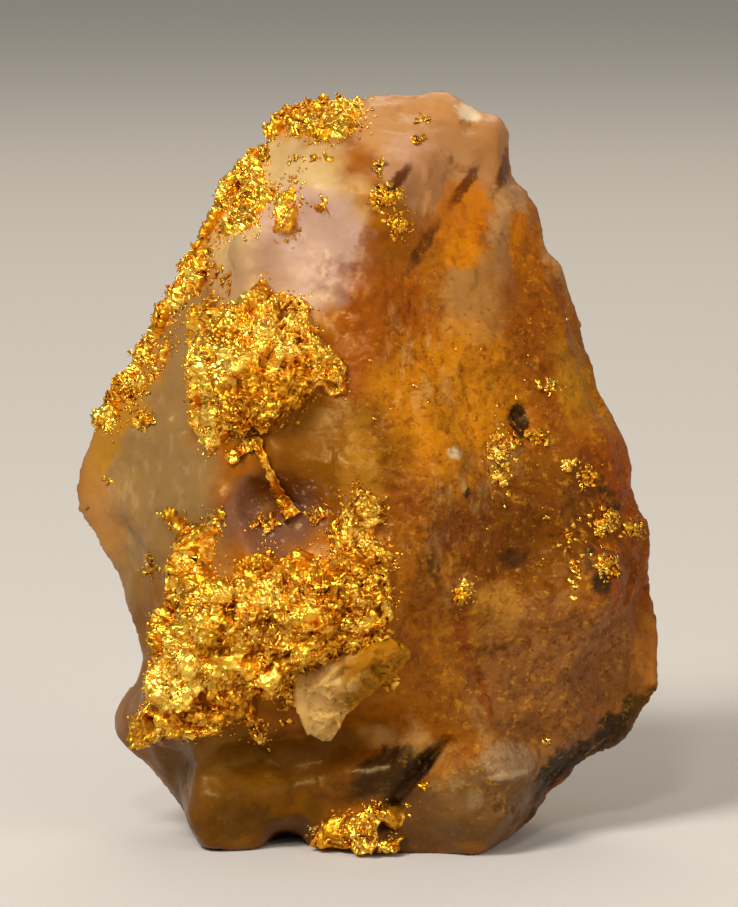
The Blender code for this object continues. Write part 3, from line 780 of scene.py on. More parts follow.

# The stone's marks. Most are iron staining. Those named shade, and the cleft, are painted shade, and the glints are
# painted highlights.
QUARTZ_STAINS_AND_PAINTED_LIGHT = (
    Mark("left wing", (-8.3, 11.4), (2.9, 6.6), 0, GREY, 1.0, 0.35),
    Mark("upper left wing", (-6.9, 17.4), (1.7, 4.2), -28, GREY, 0.95, 0.4),
    Mark("upper left face", (-3.4, 23.0), (2.9, 3.6), 0, paint(220, 184, 130), 0.9, 0.4),
    Mark("shell break", (-2.2, 22.1), (2.1, 2.3), 20, LILAC, 0.9, 0.35, Border.RAGGED),
    Mark(
        "shell shade", (-1.2, 20.9), (0.9, 0.9), 0, paint(150, 106, 90), 0.8, 0.8, Border.RAGGED, Cover.PATCHY
    ),
    Mark("shell break left", (-4.3, 21.4), (1.3, 1.2), 0, paint(172, 128, 100), 0.7, 0.8),
    Mark("left wing rim", (-10.2, 12.9), (0.9, 2.6), 8, paint(190, 126, 62), 0.8, 0.8),
    Mark("left wing shoulder", (-9.3, 15.9), (0.8, 2.6), -28, paint(176, 118, 26), 0.9, 0.6),
    Mark("left wing foot", (-8.2, 7.0), (1.5, 3.2), 0, paint(126, 76, 16), 0.95, 0.6),
    Mark(
        "left wing streaks", (-8.0, 12.6), (1.8, 4.4), 4, paint(184, 148, 106), 0.45, 0.6, cover=Cover.STREAKED
    ),
    Mark("top", (2.0, 26.6), (3.4, 1.3), 0, PEACH, 0.95, 0.4),
    Mark("top flush", (2.5, 25.0), (1.8, 1.2), 0, paint(222, 176, 160), 0.9, 0.8, Border.RAGGED),
    Mark("top right", (3.2, 24.8), (2.3, 2.0), 0, paint(174, 114, 64), 0.9, 0.5),
    Mark("pale patch", (4.0, 20.4), (1.5, 1.8), 0, paint(174, 116, 60), 0.95, 0.25, Border.RAGGED),
    Mark("pale column", (5.1, 22.9), (0.75, 2.0), 0, paint(182, 130, 86), 0.9, 0.4, Border.RAGGED),
    Mark("amber slope", (0.6, 18.0), (2.4, 3.4), 8, paint(152, 70, 0), 0.9, 0.5),
    Mark("ridge rust", (-0.1, 21.0), (0.55, 2.4), -6, RUST, 0.75, 0.6, Border.RAGGED, Cover.PATCHY),
    Mark("ridge orange", (1.0, 19.6), (1.1, 1.5), 0, paint(156, 74, 0), 0.7, 0.6, Border.RAGGED),
    Mark("orange patch", (3.3, 23.1), (1.0, 1.6), -8, ORANGE, 0.95, 0.3, Border.RAGGED),
    Mark("orange patch foot", (3.3, 21.8), (0.75, 0.6), 0, paint(200, 116, 2), 0.9, 0.3, Border.CRISP),
    Mark("orange wedge", (5.7, 21.9), (0.62, 1.7), 12, ORANGE, 1.0, 0.25, Border.CRISP),
    Mark("wedge core", (5.8, 21.3), (0.3, 1.2), 12, BROWN, 0.7, 0.6, Border.CRISP, Cover.PATCHY),
    Mark("upper streak", (0.8, 24.2), (0.26, 1.1), -38, STREAK, 0.95, 0.4, Border.CRISP),
    Mark("middle streak", (3.4, 24.3), (0.24, 0.95), -34, STREAK, 0.9, 0.5, Border.CRISP),
    Mark("lower streak", (1.9, 22.1), (0.24, 1.2), -32, STREAK, 0.9, 0.5, Border.CRISP),
    Mark("streak rust", (2.0, 22.6), (0.7, 1.5), -32, paint(150, 72, 4), 0.6, 0.8, Border.CRISP, Cover.PATCHY),
    Mark("corner streak", (4.9, 25.0), (0.22, 0.9), -18, STREAK, 0.85, 0.5, Border.CRISP),
    Mark("right slope", (6.7, 18.0), (1.6, 4.2), 20, paint(134, 64, 0), 0.95, 0.6),
    Mark("right rim light", (8.1, 16.2), (0.7, 3.2), 20, paint(180, 116, 16), 0.8, 0.7),
    Mark("centre gold", (2.9, 16.6), (2.2, 2.8), 0, paint(206, 124, 4), 0.85, 0.7),
    Mark("amber middle", (0.9, 16.4), (1.3, 1.6), 0, paint(194, 116, 4), 0.7, 0.7),
    Mark("hollow glow", (-1.6, 14.8), (3.0, 2.2), 0, paint(124, 68, 0), 0.95, 0.5),
    Mark("hollow pale bar", (-0.4, 14.0), (0.7, 2.2), 4, paint(184, 122, 34), 0.6, 0.7, Border.RAGGED),
    Mark("hollow floor", (-3.6, 12.4), (1.9, 1.5), -10, PLUM, 0.95, 0.35, Border.RAGGED),
    Mark("hollow shade", (-3.3, 13.4), (1.0, 1.1), -10, paint(118, 62, 8), 0.9, 0.4, Border.RAGGED),
    Mark(
        "hollow glints", (-2.6, 12.5), (2.0, 1.2), 0, paint(196, 166, 160), 0.6, 0.8, Border.CRISP, Cover.SPECKLED
    ),
    Mark("right rust", (8.9, 12.4), (1.8, 3.6), 12, paint(150, 64, 0), 0.95, 0.5),
    Mark("right rust rim", (10.0, 9.4), (0.9, 3.2), 6, paint(134, 64, 6), 0.9, 0.6),
    Mark("right brown", (6.5, 12.1), (2.4, 2.9), 0, paint(112, 56, 2), 0.9, 0.6, Border.RAGGED),
    Mark("dark pit", (5.4, 15.8), (0.36, 0.62), 14, paint(58, 28, 10), 1.0, 0.15, Border.CRISP),
    Mark("soot upper", (8.3, 13.4), (0.36, 0.8), 20, UMBER, 0.95, 0.4, Border.CRISP, Cover.PATCHY),
    Mark("soot right", (8.7, 12.8), (0.45, 0.6), 30, UMBER, 0.85, 0.6, Border.CRISP, Cover.PATCHY),
    Mark("soot lower", (8.35, 9.9), (0.42, 0.42), 0, BLACK, 0.95, 0.4, Border.CRISP),
    Mark("soot lower tail", (8.0, 10.8), (0.24, 0.5), 12, BLACK, 0.8, 0.6, Border.CRISP, Cover.PATCHY),
    Mark("speck a", (3.5, 13.2), (0.17, 0.2), 0, BLACK, 0.9, 0.4, Border.CRISP),
    Mark("speck d", (2.3, 10.4), (0.22, 0.55), 15, paint(74, 32, 10), 0.9, 0.4, Border.CRISP),
    Mark("speck e", (5.2, 10.8), (0.55, 0.38), 0, paint(70, 32, 12), 0.9, 0.5, Border.CRISP),
    Mark(
        "rust specks upper", (2.6, 17.4), (3.6, 4.2), 10, paint(112, 52, 8), 0.6, 0.7, Border.RAGGED, Cover.SPECKLED
    ),
    Mark(
        "rust specks lower", (4.8, 9.6), (4.6, 4.6), 20, paint(96, 48, 12), 0.6, 0.7, Border.RAGGED, Cover.SPECKLED
    ),
    Mark(
        "veil upper", (1.9, 17.9), (1.3, 2.2), 24, paint(206, 158, 96), 0.5, 0.8, Border.RAGGED, Cover.STREAKED
    ),
    Mark(
        "veil middle", (3.1, 12.4), (1.2, 2.2), -10, paint(200, 158, 104), 0.5, 0.8, Border.RAGGED, Cover.STREAKED
    ),
    Mark(
        "white flecks", (2.6, 14.6), (4.2, 6.0), 0, paint(208, 158, 88), 0.45, 0.7, Border.RAGGED, Cover.FLECKED
    ),
    Mark("white glint", (3.05, 14.6), (0.22, 0.24), 0, paint(226, 206, 170), 0.8, 0.9, Border.CRISP),
    Mark("pale block", (4.6, 8.8), (1.0, 1.2), 0, paint(190, 128, 48), 0.85, 0.35, Border.CRISP),
    Mark("lower mottle", (2.9, 8.4), (2.2, 3.2), 0, DEEP_AMBER, 0.7, 0.6, cover=Cover.PATCHY),
    Mark("rough ground", (6.8, 6.4), (3.6, 3.0), 18, PINK_BROWN, 0.95, 0.4, Border.RAGGED),
    Mark("rough ground light", (7.6, 7.4), (2.4, 1.3), 20, paint(162, 102, 56), 0.7, 0.7, cover=Cover.PATCHY),
    Mark(
        "rough ground gold", (5.6, 7.0), (3.6, 2.6), 18, paint(150, 92, 20), 0.7, 0.7, Border.RAGGED, Cover.FLECKED
    ),
    Mark(
        "rough ground dark", (7.2, 6.4), (3.0, 2.4), 18, paint(84, 44, 22), 0.7, 0.7, Border.RAGGED, Cover.SPECKLED
    ),
    Mark("red vein upper", (3.3, 8.1), (0.22, 1.3), 14, RUST, 0.9, 0.5, Border.CRISP),
    Mark("red vein lower", (4.1, 5.9), (0.22, 1.4), 18, RUST, 0.8, 0.5, Border.CRISP),
    Mark("plum spot", (5.7, 6.2), (0.6, 0.5), 0, paint(86, 50, 48), 0.9, 0.5, Border.CRISP, Cover.PATCHY),
    Mark("rim orange", (10.2, 7.2), (0.6, 1.2), 0, paint(192, 116, 50), 0.85, 0.5, Border.RAGGED),
    # Partly painted shade: the dark oxide crust along the lower right edge is painted darker still, for the shade
    # on its steep faces.
    Mark("lower crust", (9.3, 4.5), (3.0, 0.8), 40, paint(26, 12, 4), 0.95, 0.35, Border.RAGGED),
    Mark("lower crust left", (6.6, 2.8), (1.6, 0.6), 40, paint(30, 14, 5), 0.95, 0.4, Border.RAGGED),
    Mark("foot", (-4.6, 2.4), (3.8, 2.6), 0, paint(106, 62, 3), 0.95, 0.4),
    Mark("foot shade", (-1.2, 3.1), (2.4, 1.3), 0, paint(104, 56, 6), 0.9, 0.5),
    Mark("foot brown", (-3.4, 1.7), (2.4, 1.2), 0, paint(72, 40, 6), 0.55, 0.6, Border.RAGGED, Cover.PATCHY),
    Mark("cleft shade", (0.4, 3.0), (1.6, 0.8), 30, paint(42, 22, 8), 0.95, 0.4, Border.RAGGED),
    # Painted shadow: the cleft is painted near black for the shade that falls in it.
    Mark("cleft", (1.5, 3.0), (0.42, 1.5), -42, BLACK, 0.95, 0.35, Border.CRISP),
    Mark("knob left", (1.5, 1.4), (1.5, 1.7), 0, paint(88, 56, 34), 0.9, 0.5, Border.RAGGED),
    Mark("knob rim", (6.0, 1.4), (0.9, 1.9), 24, paint(62, 36, 20), 0.85, 0.6, Border.RAGGED),
    Mark("knob", (3.9, 1.9), (2.3, 1.7), 12, paint(114, 76, 42), 0.95, 0.35, Border.RAGGED),
    Mark("knob chip", (5.0, 3.5), (1.05, 0.7), -6, paint(158, 120, 92), 0.9, 0.3, Border.CRISP),
    Mark("knob chip edge", (5.0, 3.0), (0.8, 0.14), 8, paint(200, 164, 132), 0.6, 0.6, Border.CRISP),
    Mark("knob spot", (3.74, 2.1), (0.3, 0.34), 0, paint(154, 118, 84), 0.7, 0.7, Border.CRISP),
    Mark("top chip", (3.6, 27.1), (0.5, 0.35), -30, paint(236, 206, 176), 0.9, 0.4, Border.CRISP),
    Mark("wing speck", (-10.4, 12.6), (0.08, 0.08), 0, UMBER, 0.8, 0.6, Border.CRISP),
)


@dataclass(frozen=True)
class QuartzFinish:
    """Broken vein quartz: cloudy and glossy, stained through with iron, with some painted shade and highlights.

    Attributes:
        name: The material's name.
        clear: The colour of its clear left side, all round the stone.
        amber: The colour of the rest of it.
        turn: Where across the face the one turns into the other, from and to.
        wander: How far that border wanders, in millimetres.
        clouds: What colours the whole stone.
        marks: What colours the face: iron staining, and some painted shade and painted highlights.
        face: From how far out of the stone its stains start to show, and from where they show fully.
        grainy: Where the face is granular. Elsewhere it is smooth.
        calm: A smooth window in the granular part.
        dark_grain: The fine dark grain, which darkens what it lies on.
        light_grain: The fine light grain.
        least_grain: How much grain the smooth places have.
        depth: How much of each colour of light the whole stone gives back.
        sheen: The colour that its iron skin gives to reflections.
        gloss: The roughness of its smooth breaks.
        matt: The roughness of its granular ones.
        least_bump: How much relief the smooth places have.
        bump: How much more the granular ones have.
    """

    name: str = "vein_quartz"
    clear: Colour = GREY
    amber: Colour = AMBER
    turn: Pair = (-8.5, -4.5)
    wander: float = 9.0
    clouds: tuple[Layer, ...] = (
        Layer(DEEP_AMBER, 0.7, Cloud(3.2, 0.45, 0.65, 11.0, roughness=0.55)),
        Layer(GOLDEN, 0.55, Cloud(2.2, 0.54, 0.70, 23.0, roughness=0.55)),
        Layer(RUST, 0.75, Cloud(4.5, 0.54, 0.64, 37.0, 4.0)),
        Layer(PALE, 0.8, Cloud(3.6, 0.57, 0.66, 57.0)),
    )
    marks: tuple[Mark, ...] = QUARTZ_STAINS_AND_PAINTED_LIGHT
    face: Pair = (-0.8, 0.6)
    grainy: Mark = Mark("granular part", (5.2, 12.6), (6.2, 11.5), 0, GREY, 1.0, 0.4)
    calm: Mark = Mark("clear window", (4.1, 20.5), (1.5, 1.9), 0, GREY, 0.9, 0.3, Border.RAGGED)
    dark_grain: Layer = Layer((0.60, 0.40, 0.2), 0.65, Cloud(0.42, 0.47, 0.39, 29.0, roughness=0.75))
    light_grain: Layer = Layer(paint(214, 142, 30), 0.42, Cloud(0.36, 0.55, 0.66, 41.0, roughness=0.75))
    least_grain: float = 0.15
    depth: Colour = (0.74, 0.76, 0.66)
    sheen: Colour = (1.0, 0.72, 0.25)
    gloss: float = 0.32
    matt: float = 0.50
    least_bump: float = 0.15
    bump: float = 0.5

    def build(self) -> bpy.types.Material:
        """Makes the material.

        Returns:
            The material.
        """
        graph = Graph(self.name)
        place, (u, _, w) = graph.face_place()
        borders = {border: self.wandering(graph, place, border) for border in Border}
        covers = {cover: graph.cloud(place, cover.value) for cover in Cover if cover.value}
        ground = colour = self.ground(graph, place, u)
        for mark in self.marks:
            factor = graph.ellipse(borders[mark.border], mark)
            if mark.cover is not Cover.WHOLE:
                factor = graph.math("MULTIPLY", factor, covers[mark.cover])
            colour = graph.mixed(factor, colour, mark.colour)
        colour = graph.mixed(graph.graded(w, *self.face), ground, colour)
        grainy, calm = (graph.ellipse(borders[part.border], part) for part in (self.grainy, self.calm))
        grainy = graph.math("MULTIPLY", grainy, graph.math("SUBTRACT", 1.0, calm))
        colour = self.fine_mottle(graph, place, colour, grainy)
        graph.feed(graph.shader, {"Base Color": graph.mixed(1.0, colour, self.depth, "MULTIPLY")})
        self.surface(graph, place, grainy)
        return graph.material

    def ground(self, graph: Graph, place: Socket, u: Socket) -> Socket:
        """The colour that the stains lie on, all round the stone.

        Args:
            graph: The material's nodes.
            place: The place in the face frame.
            u: Its part across the face.

        Returns:
            The colour.
        """
        swell, _ = graph.noise(place, 7.0, 3.0)
        aside = graph.math("MULTIPLY", graph.math("SUBTRACT", swell, 0.5), self.wander)
        amber = graph.graded(graph.math("ADD", u, aside), *self.turn)
        colour = graph.mixed(amber, self.clear, self.amber)
        for layer in self.clouds:
            colour = graph.layered(place, colour, layer)
        return colour

    def wandering(self, graph: Graph, place: Socket, border: Border) -> list[Socket]:
        """The place in the plane of the face, moved to and fro so that borders wander.

        Args:
            graph: The material's nodes.
            place: The place in the face frame.
            border: How far and how finely they wander.

        Returns:
            The moved u and v.
        """
        reach, size = border.value
        _, random = graph.noise(place, size, 3.0, 0.65, 3.0)
        moved = graph.scaled(graph.vector("SUBTRACT", random, (0.5, 0.5, 0.5)), reach * 2)
        return list(graph.add("SeparateXYZ", {0: graph.vector("ADD", place, moved)}).outputs[:2])

    def fine_mottle(self, graph: Graph, place: Socket, colour: Socket, grainy: Socket) -> Socket:
        """Lays fine light and dark grain over a colour.

        Args:
            graph: The material's nodes.
            place: The place in the face frame.
            colour: The colour to break up.
            grainy: How granular the stone is.

        Returns:
            The colour with its grain.
        """
        share = graph.math("MULTIPLY_ADD", grainy, 1.0 - self.least_grain, self.least_grain)
        for layer, blend in ((self.dark_grain, "MULTIPLY"), (self.light_grain, "MIX")):
            colour = graph.layered(place, colour, layer, share, blend)
        return colour

    def surface(self, graph: Graph, place: Socket, grainy: Socket) -> None:
        """Sets how the finish takes the light.

        Args:
            graph: The material's nodes.
            place: The place in the face frame.
            grainy: How granular the stone is.
        """
        swell, _ = graph.noise(place, 1.6, 2.0, shift=53.0)
        rough = graph.graded(graph.math("MULTIPLY_ADD", grainy, 0.2, swell), 0.40, 0.75, self.gloss, self.matt)
        fixed = {"IOR": QUARTZ_IOR, "Specular IOR Level": 0.2, "Specular Tint": (*self.sheen, 1.0)}
        graph.feed(graph.shader, {"Roughness": rough} | fixed)
        grain, _ = graph.noise(place, 0.25, 1.0, 0.6, 61.0)
        height = graph.math("ADD", graph.facets(place, 0.26, 0.32), graph.math("MULTIPLY", grain, 0.08))
        graph.raised(height, graph.math("MULTIPLY_ADD", grainy, self.bump, self.least_bump))


@dataclass(frozen=True)
class PaleQuartzFinish:
    """Cream-yellow granular quartz with a frosted break.

    Attributes:
        name: The material's name.
        light: The colour of its left end.
        yellow: The colour of the rest of it.
        turn: Where across the face the one turns into the other, from and to.
        dark: The colour of its fine grain.
        roughness: How frosted it is.
        sheen: The colour of its reflections.
        scatter: How far red, green and blue light goes in it, next to each other.
        reach: How far that is, in metres.
    """

    name: str = "pale_quartz"
    light: Colour = paint(208, 164, 92)
    yellow: Colour = paint(154, 98, 4)
    turn: Pair = (-1.2, 0.2)
    dark: Colour = paint(124, 76, 12)
    roughness: float = 0.42
    sheen: Colour = (1.0, 0.8, 0.45)
    scatter: Colour = (1.0, 0.6, 0.25)
    reach: float = 0.0006

    def build(self) -> bpy.types.Material:
        """Makes the material.

        Returns:
            The material.
        """
        graph = Graph(self.name)
        place, (u, _, _) = graph.face_place()
        cloud = graph.cloud(place, Cloud(0.8, 0.40, 0.62, detail=5.0))
        body = graph.graded(graph.math("MULTIPLY_ADD", cloud, 0.8, u), *self.turn)
        colour = graph.mixed(body, self.light, self.yellow)
        grain = graph.cloud(place, Cloud(0.3, 0.50, 0.34, 7.0, 4.0), 0.0, 0.3)
        settings = {
            "Base Color": graph.mixed(grain, colour, self.dark),
            "Roughness": self.roughness,
            "IOR": QUARTZ_IOR,
            "Specular IOR Level": 0.15,
            "Specular Tint": (*self.sheen, 1.0),
            "Subsurface Weight": 0.5,
            "Subsurface Radius": self.scatter,
            "Subsurface Scale": self.reach,
        }
        graph.feed(graph.shader, settings)
        pits, _ = graph.noise(place, 0.16, 3.0, 0.6, 13.0)
        height = graph.math("ADD", graph.facets(place, 0.2, 0.2), graph.math("MULTIPLY", pits, 0.05))
        graph.raised(height, 0.7)
        return graph.material


# Painted shade, with tarnish: the dull gold is laid on the folds, pockets and hollows of the foil that lie in
# shade.
PAINTED_SHADE_DULL_GOLD = (0.50, 0.20, 0.008)
# Painted highlights: the gleams are lighter gold painted where the foil catches the light.
PAINTED_HIGHLIGHT_GOLD = (1.0, 0.67, 0.11)
GOLD_PAINTED_LIGHT_AND_TARNISH = (
    Mark("upper gleam", (-5.4, 17.8), (0.9, 0.8), 0, PAINTED_HIGHLIGHT_GOLD, 0.9, 0.6),
    Mark("upper top gleam", (-3.4, 18.8), (1.5, 0.7), 20, PAINTED_HIGHLIGHT_GOLD, 0.8, 0.6),
    Mark("upper left gleam", (-5.9, 15.6), (0.5, 1.6), 14, PAINTED_HIGHLIGHT_GOLD, 0.7, 0.6),
    Mark("upper fold", (-3.4, 16.3), (1.6, 0.9), 8, PAINTED_SHADE_DULL_GOLD, 0.85, 0.5),
    Mark("upper pocket", (-5.4, 18.8), (0.7, 0.35), 0, PAINTED_SHADE_DULL_GOLD, 0.9, 0.5),
    Mark("upper middle", (-5.1, 16.6), (0.8, 0.7), 0, PAINTED_SHADE_DULL_GOLD, 0.8, 0.5),
    Mark("upper foot", (-4.4, 15.1), (1.2, 0.5), 10, PAINTED_SHADE_DULL_GOLD, 0.8, 0.5),
    Mark("strand", (-3.6, 13.8), (0.5, 1.3), 20, PAINTED_SHADE_DULL_GOLD, 0.7, 0.5),
    Mark("lower left gleam", (-7.0, 6.4), (1.1, 1.0), 0, PAINTED_HIGHLIGHT_GOLD, 0.9, 0.6),
    Mark("lower arm gleam", (-0.3, 12.2), (0.9, 1.1), 0, PAINTED_HIGHLIGHT_GOLD, 0.8, 0.6),
    Mark("lower middle gleam", (-3.2, 9.7), (1.4, 0.6), 0, PAINTED_HIGHLIGHT_GOLD, 0.6, 0.6),
    Mark("lower right", (-0.5, 10.0), (1.4, 1.4), 0, PAINTED_SHADE_DULL_GOLD, 0.85, 0.5),
    Mark("lower middle", (-4.4, 8.0), (2.0, 0.7), 10, PAINTED_SHADE_DULL_GOLD, 0.7, 0.5),
    Mark("lower foot", (-4.6, 5.2), (1.7, 0.9), 0, PAINTED_SHADE_DULL_GOLD, 0.85, 0.5),
    Mark("left arm", (-6.8, 12.0), (1.0, 0.7), 0, PAINTED_SHADE_DULL_GOLD, 0.7, 0.5),
)


@dataclass(frozen=True)
class GoldFinish:
    """Bright native gold, with painted highlights and shade, and creases darkened by iron oxide and painted shade.

    Attributes:
        name: The material's name.
        bright: Its lightest colour.
        deep: The colour that clouds it.
        tarnish: The colour of its dull places.
        crease_oxide_and_shade: The colour in its creases, iron oxide with painted shade, and in its worn spots.
        dull: Where it is dull, which makes it rougher too.
        broken: What breaks up its painted highlights and its dull places.
        worn: Where it is worn.
        rough: Where it is rough.
        shine: The roughness of its shiny places and of its rough ones.
        marks: Its gleams, which are painted highlights, and its larger dull places, tarnish with painted shade.
    """

    name: str = "native_gold"
    bright: Colour = (1.0, 0.63, 0.09)
    deep: Colour = (0.90, 0.42, 0.02)
    tarnish: Colour = (0.66, 0.28, 0.01)
    crease_oxide_and_shade: Colour = (0.42, 0.15, 0.006)
    dull: Cloud = Cloud(1.7, 0.48, 0.58, 47.0, 4.0)
    broken: Cloud = Cloud(0.45, 0.38, 0.54, 83.0, roughness=0.65)
    worn: Cloud = Cloud(0.22, 0.56, 0.68, 19.0, 4.0)
    rough: Cloud = Cloud(0.5, 0.35, 0.65, 31.0, roughness=0.55)
    shine: Pair = (0.22, 0.36)
    marks: tuple[Mark, ...] = GOLD_PAINTED_LIGHT_AND_TARNISH

    def build(self) -> bpy.types.Material:
        """Makes the material.

        Returns:
            The material.
        """
        graph = Graph(self.name)
        place, (u, v, _) = graph.face_place()
        cloud = graph.cloud(place, Cloud(0.7, 0.36, 0.64, detail=4.0))
        colour = graph.mixed(cloud, self.bright, self.deep)
        dull, broken = (graph.cloud(place, where) for where in (self.dull, self.broken))
        colour = graph.mixed(graph.math("MULTIPLY", dull, 0.85), colour, self.tarnish)
        # Painted light: the gleams are painted highlights, and the dull places are tarnish with painted shade.
        for mark in self.marks:
            factor = graph.math("MULTIPLY", graph.ellipse([u, v], mark), broken)
            colour = graph.mixed(factor, colour, mark.colour)
        # Painted shade, with iron oxide: the creases are darkened by how deep they lie.
        sunk = graph.add("Attribute", {}, attribute_name="crease_oxide_and_shade").outputs["Fac"]
        worn = graph.cloud(place, self.worn, 0.0, 0.3)
        colour = graph.mixed(graph.math("MAXIMUM", sunk, worn), colour, self.crease_oxide_and_shade)
        rough = graph.math("MULTIPLY_ADD", dull, 0.14, graph.cloud(place, self.rough, *self.shine))
        graph.feed(graph.shader, {"Base Color": colour, "Metallic": 1.0, "Roughness": rough})
        graph.raised(graph.facets(place, 0.21, 0.30))
        return graph.material


@dataclass(frozen=True)
class FloorFinish:
    """A plain pale floor.

    Attributes:
        name: The material's name.
        colour: Its colour.
        roughness: How matt it is.
    """

    name: str = "pale_floor"
    colour: Colour = (0.55, 0.52, 0.48)
    roughness: float = 0.9

    def build(self) -> bpy.types.Material:
        """Makes the material.

        Returns:
            The material.
        """
        graph = Graph(self.name)
        graph.feed(graph.shader, {"Base Color": (*self.colour, 1.0), "Roughness": self.roughness})
        return graph.material


# --------------------------------------------------------------------------------------------- the pieces


# A place on w that is well in front of the stone.
IN_FRONT = 30.0


@dataclass
class Stone:
    """The quartz itself, in one closed skin.

    Attributes:
        node: The solid that it stands for.
        voxel: The size of its faces, in millimetres.
        rounds: How often the solid's own facets are evened out.
        fuller: How far its skin is moved out to make up for that, in millimetres.
        breaks: The small breaks of its whole skin.
        granules: The finer ones of its granular parts.
        least: How much of those its smooth parts have.
        grit: How high its grit stands in its smooth parts and in its granular ones, in millimetres.
        granular_parts: Where it is granular, as the middle of each part, (u, v), and its reach.
        behind: How granular its back is.
        finish: Its finish.
        tree: Its surface, once it is built, for the pieces that sit on it.
    """

    node: str = "quartz"
    voxel: float = 0.141
    rounds: int = 4
    fuller: float = 0.13
    breaks: Facets = Facets(1.3, 0.05, 0.07, 0.05, Break.SHELLS, 3)
    granules: Facets = Facets(0.5, 0.03, 0.12, 0.08, Break.SHELLS, 5)
    least: float = 0.15
    grit: Pair = (0.008, 0.038)
    granular_parts: tuple[tuple[Pair, float], ...] = (
        ((7.0, 6.0), 5.0),
        ((2.5, 14.0), 4.5),
        ((8.5, 12.0), 3.0),
        ((0.5, 19.0), 3.0),
    )
    behind: float = 0.6
    finish: QuartzFinish = QuartzFinish()
    tree: BVHTree | None = field(default=None, init=False)

    def build(self) -> bpy.types.Object:
        """Builds and dresses the stone.

        Returns:
            The piece.
        """
        mesh = even_solid(self.node, self.voxel)
        move_to(mesh, smoothed(mesh, self.rounds))
        points, normals = points_of(mesh), normals_of(mesh)
        granular = self.granular(points)
        moved = self.fuller + self.breaks.heights(points)
        moved += self.granules.heights(points) * (self.least + (1.0 - self.least) * granular)
        moved += unevenness(points, 0.5, 3, 8) * (self.grit[0] + (self.grit[1] - self.grit[0]) * granular)
        move_to(mesh, self.level(points + normals * moved[:, None]))
        mesh.shade_smooth()
        self.tree = BVHTree.FromPolygons(points_of(mesh).tolist(), [p.vertices[:] for p in mesh.polygons])
        piece = place_piece(mesh, "stone", self.finish.build())
        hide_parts(self.node)
        return piece

    def granular(self, points: np.ndarray) -> np.ndarray:
        """How granular the stone is at each point.

        Args:
            points: The points, one row each.

        Returns:
            A share from 0 to 1 for each.
        """
        rough = np.zeros(len(points))
        for middle, reach in self.granular_parts:
            away = np.hypot(*(points[:, :2] - middle).T)
            rough = np.maximum(rough, 1.0 - smooth_step(away, reach / 2, reach))
        return np.where(points[:, 2] > 0, rough, self.behind)

    def level(self, points: np.ndarray) -> np.ndarray:
        """Keeps the points from coming below the flat that the stone stands on.

        Args:
            points: The points, one row each.

        Returns:
            The points.
        """
        height = points[:, 1] * FACE.up.z + points[:, 2] * FACE.out.z - FACE.seat
        down = np.clip(-height, 0.0, None)[:, None]
        return points + down * np.array([0.0, FACE.up.z, FACE.out.z])

    def onto(self, spots: np.ndarray) -> Surface:
        """Finds where spots of the face lie on the stone.

        Args:
            spots: The spots, as rows of u and v.

        Returns:
            The places and the normals there, of the spots that lie on the stone.
        """
        places, normals = [], []
        for u, v in spots:
            place, normal, _, _ = self.tree.ray_cast(Vector((u, v, IN_FRONT)), Vector((0, 0, -1)))
            if place is not None:
                places.append(place)
                normals.append(normal)
        return np.array(places), np.array(normals)


@dataclass(frozen=True)
class Seat:
    """How a piece is set on the stone: down by most of the gap, with its underside sunk out of sight.

    Attributes:
        down: How far all of it is moved down, in millimetres.
        underside: Up to what height its points belong to its underside.
        top: From what height they belong to its top.
        sink: How much further the underside goes.
    """

    down: float = 0.14
    underside: float = 0.26
    top: float = 0.48
    sink: float = 0.42

    def heights(self, raw: np.ndarray) -> np.ndarray:
        """The heights over the stone that points come to.

        Args:
            raw: Their heights before.

        Returns:
            Their heights after.
        """
        return raw - self.down - self.sink * (1.0 - smooth_step(raw, self.underside, self.top))


def over_stone(points: np.ndarray, stone: Stone) -> tuple[np.ndarray, np.ndarray, np.ndarray]:
    """Finds how high points stand over the stone.

    Args:
        points: The points, one row each.
        stone: The stone.

    Returns:
        The nearest places on the stone, the directions away from it, and the heights.
    """
    places, outward = np.empty_like(points), np.empty_like(points)
    for index, point in enumerate(points):
        place, normal, _, _ = stone.tree.find_nearest(Vector(point))
        places[index], outward[index] = place, normal
    heights = ((points - places) * outward).sum(axis=1)
    return places, outward, heights


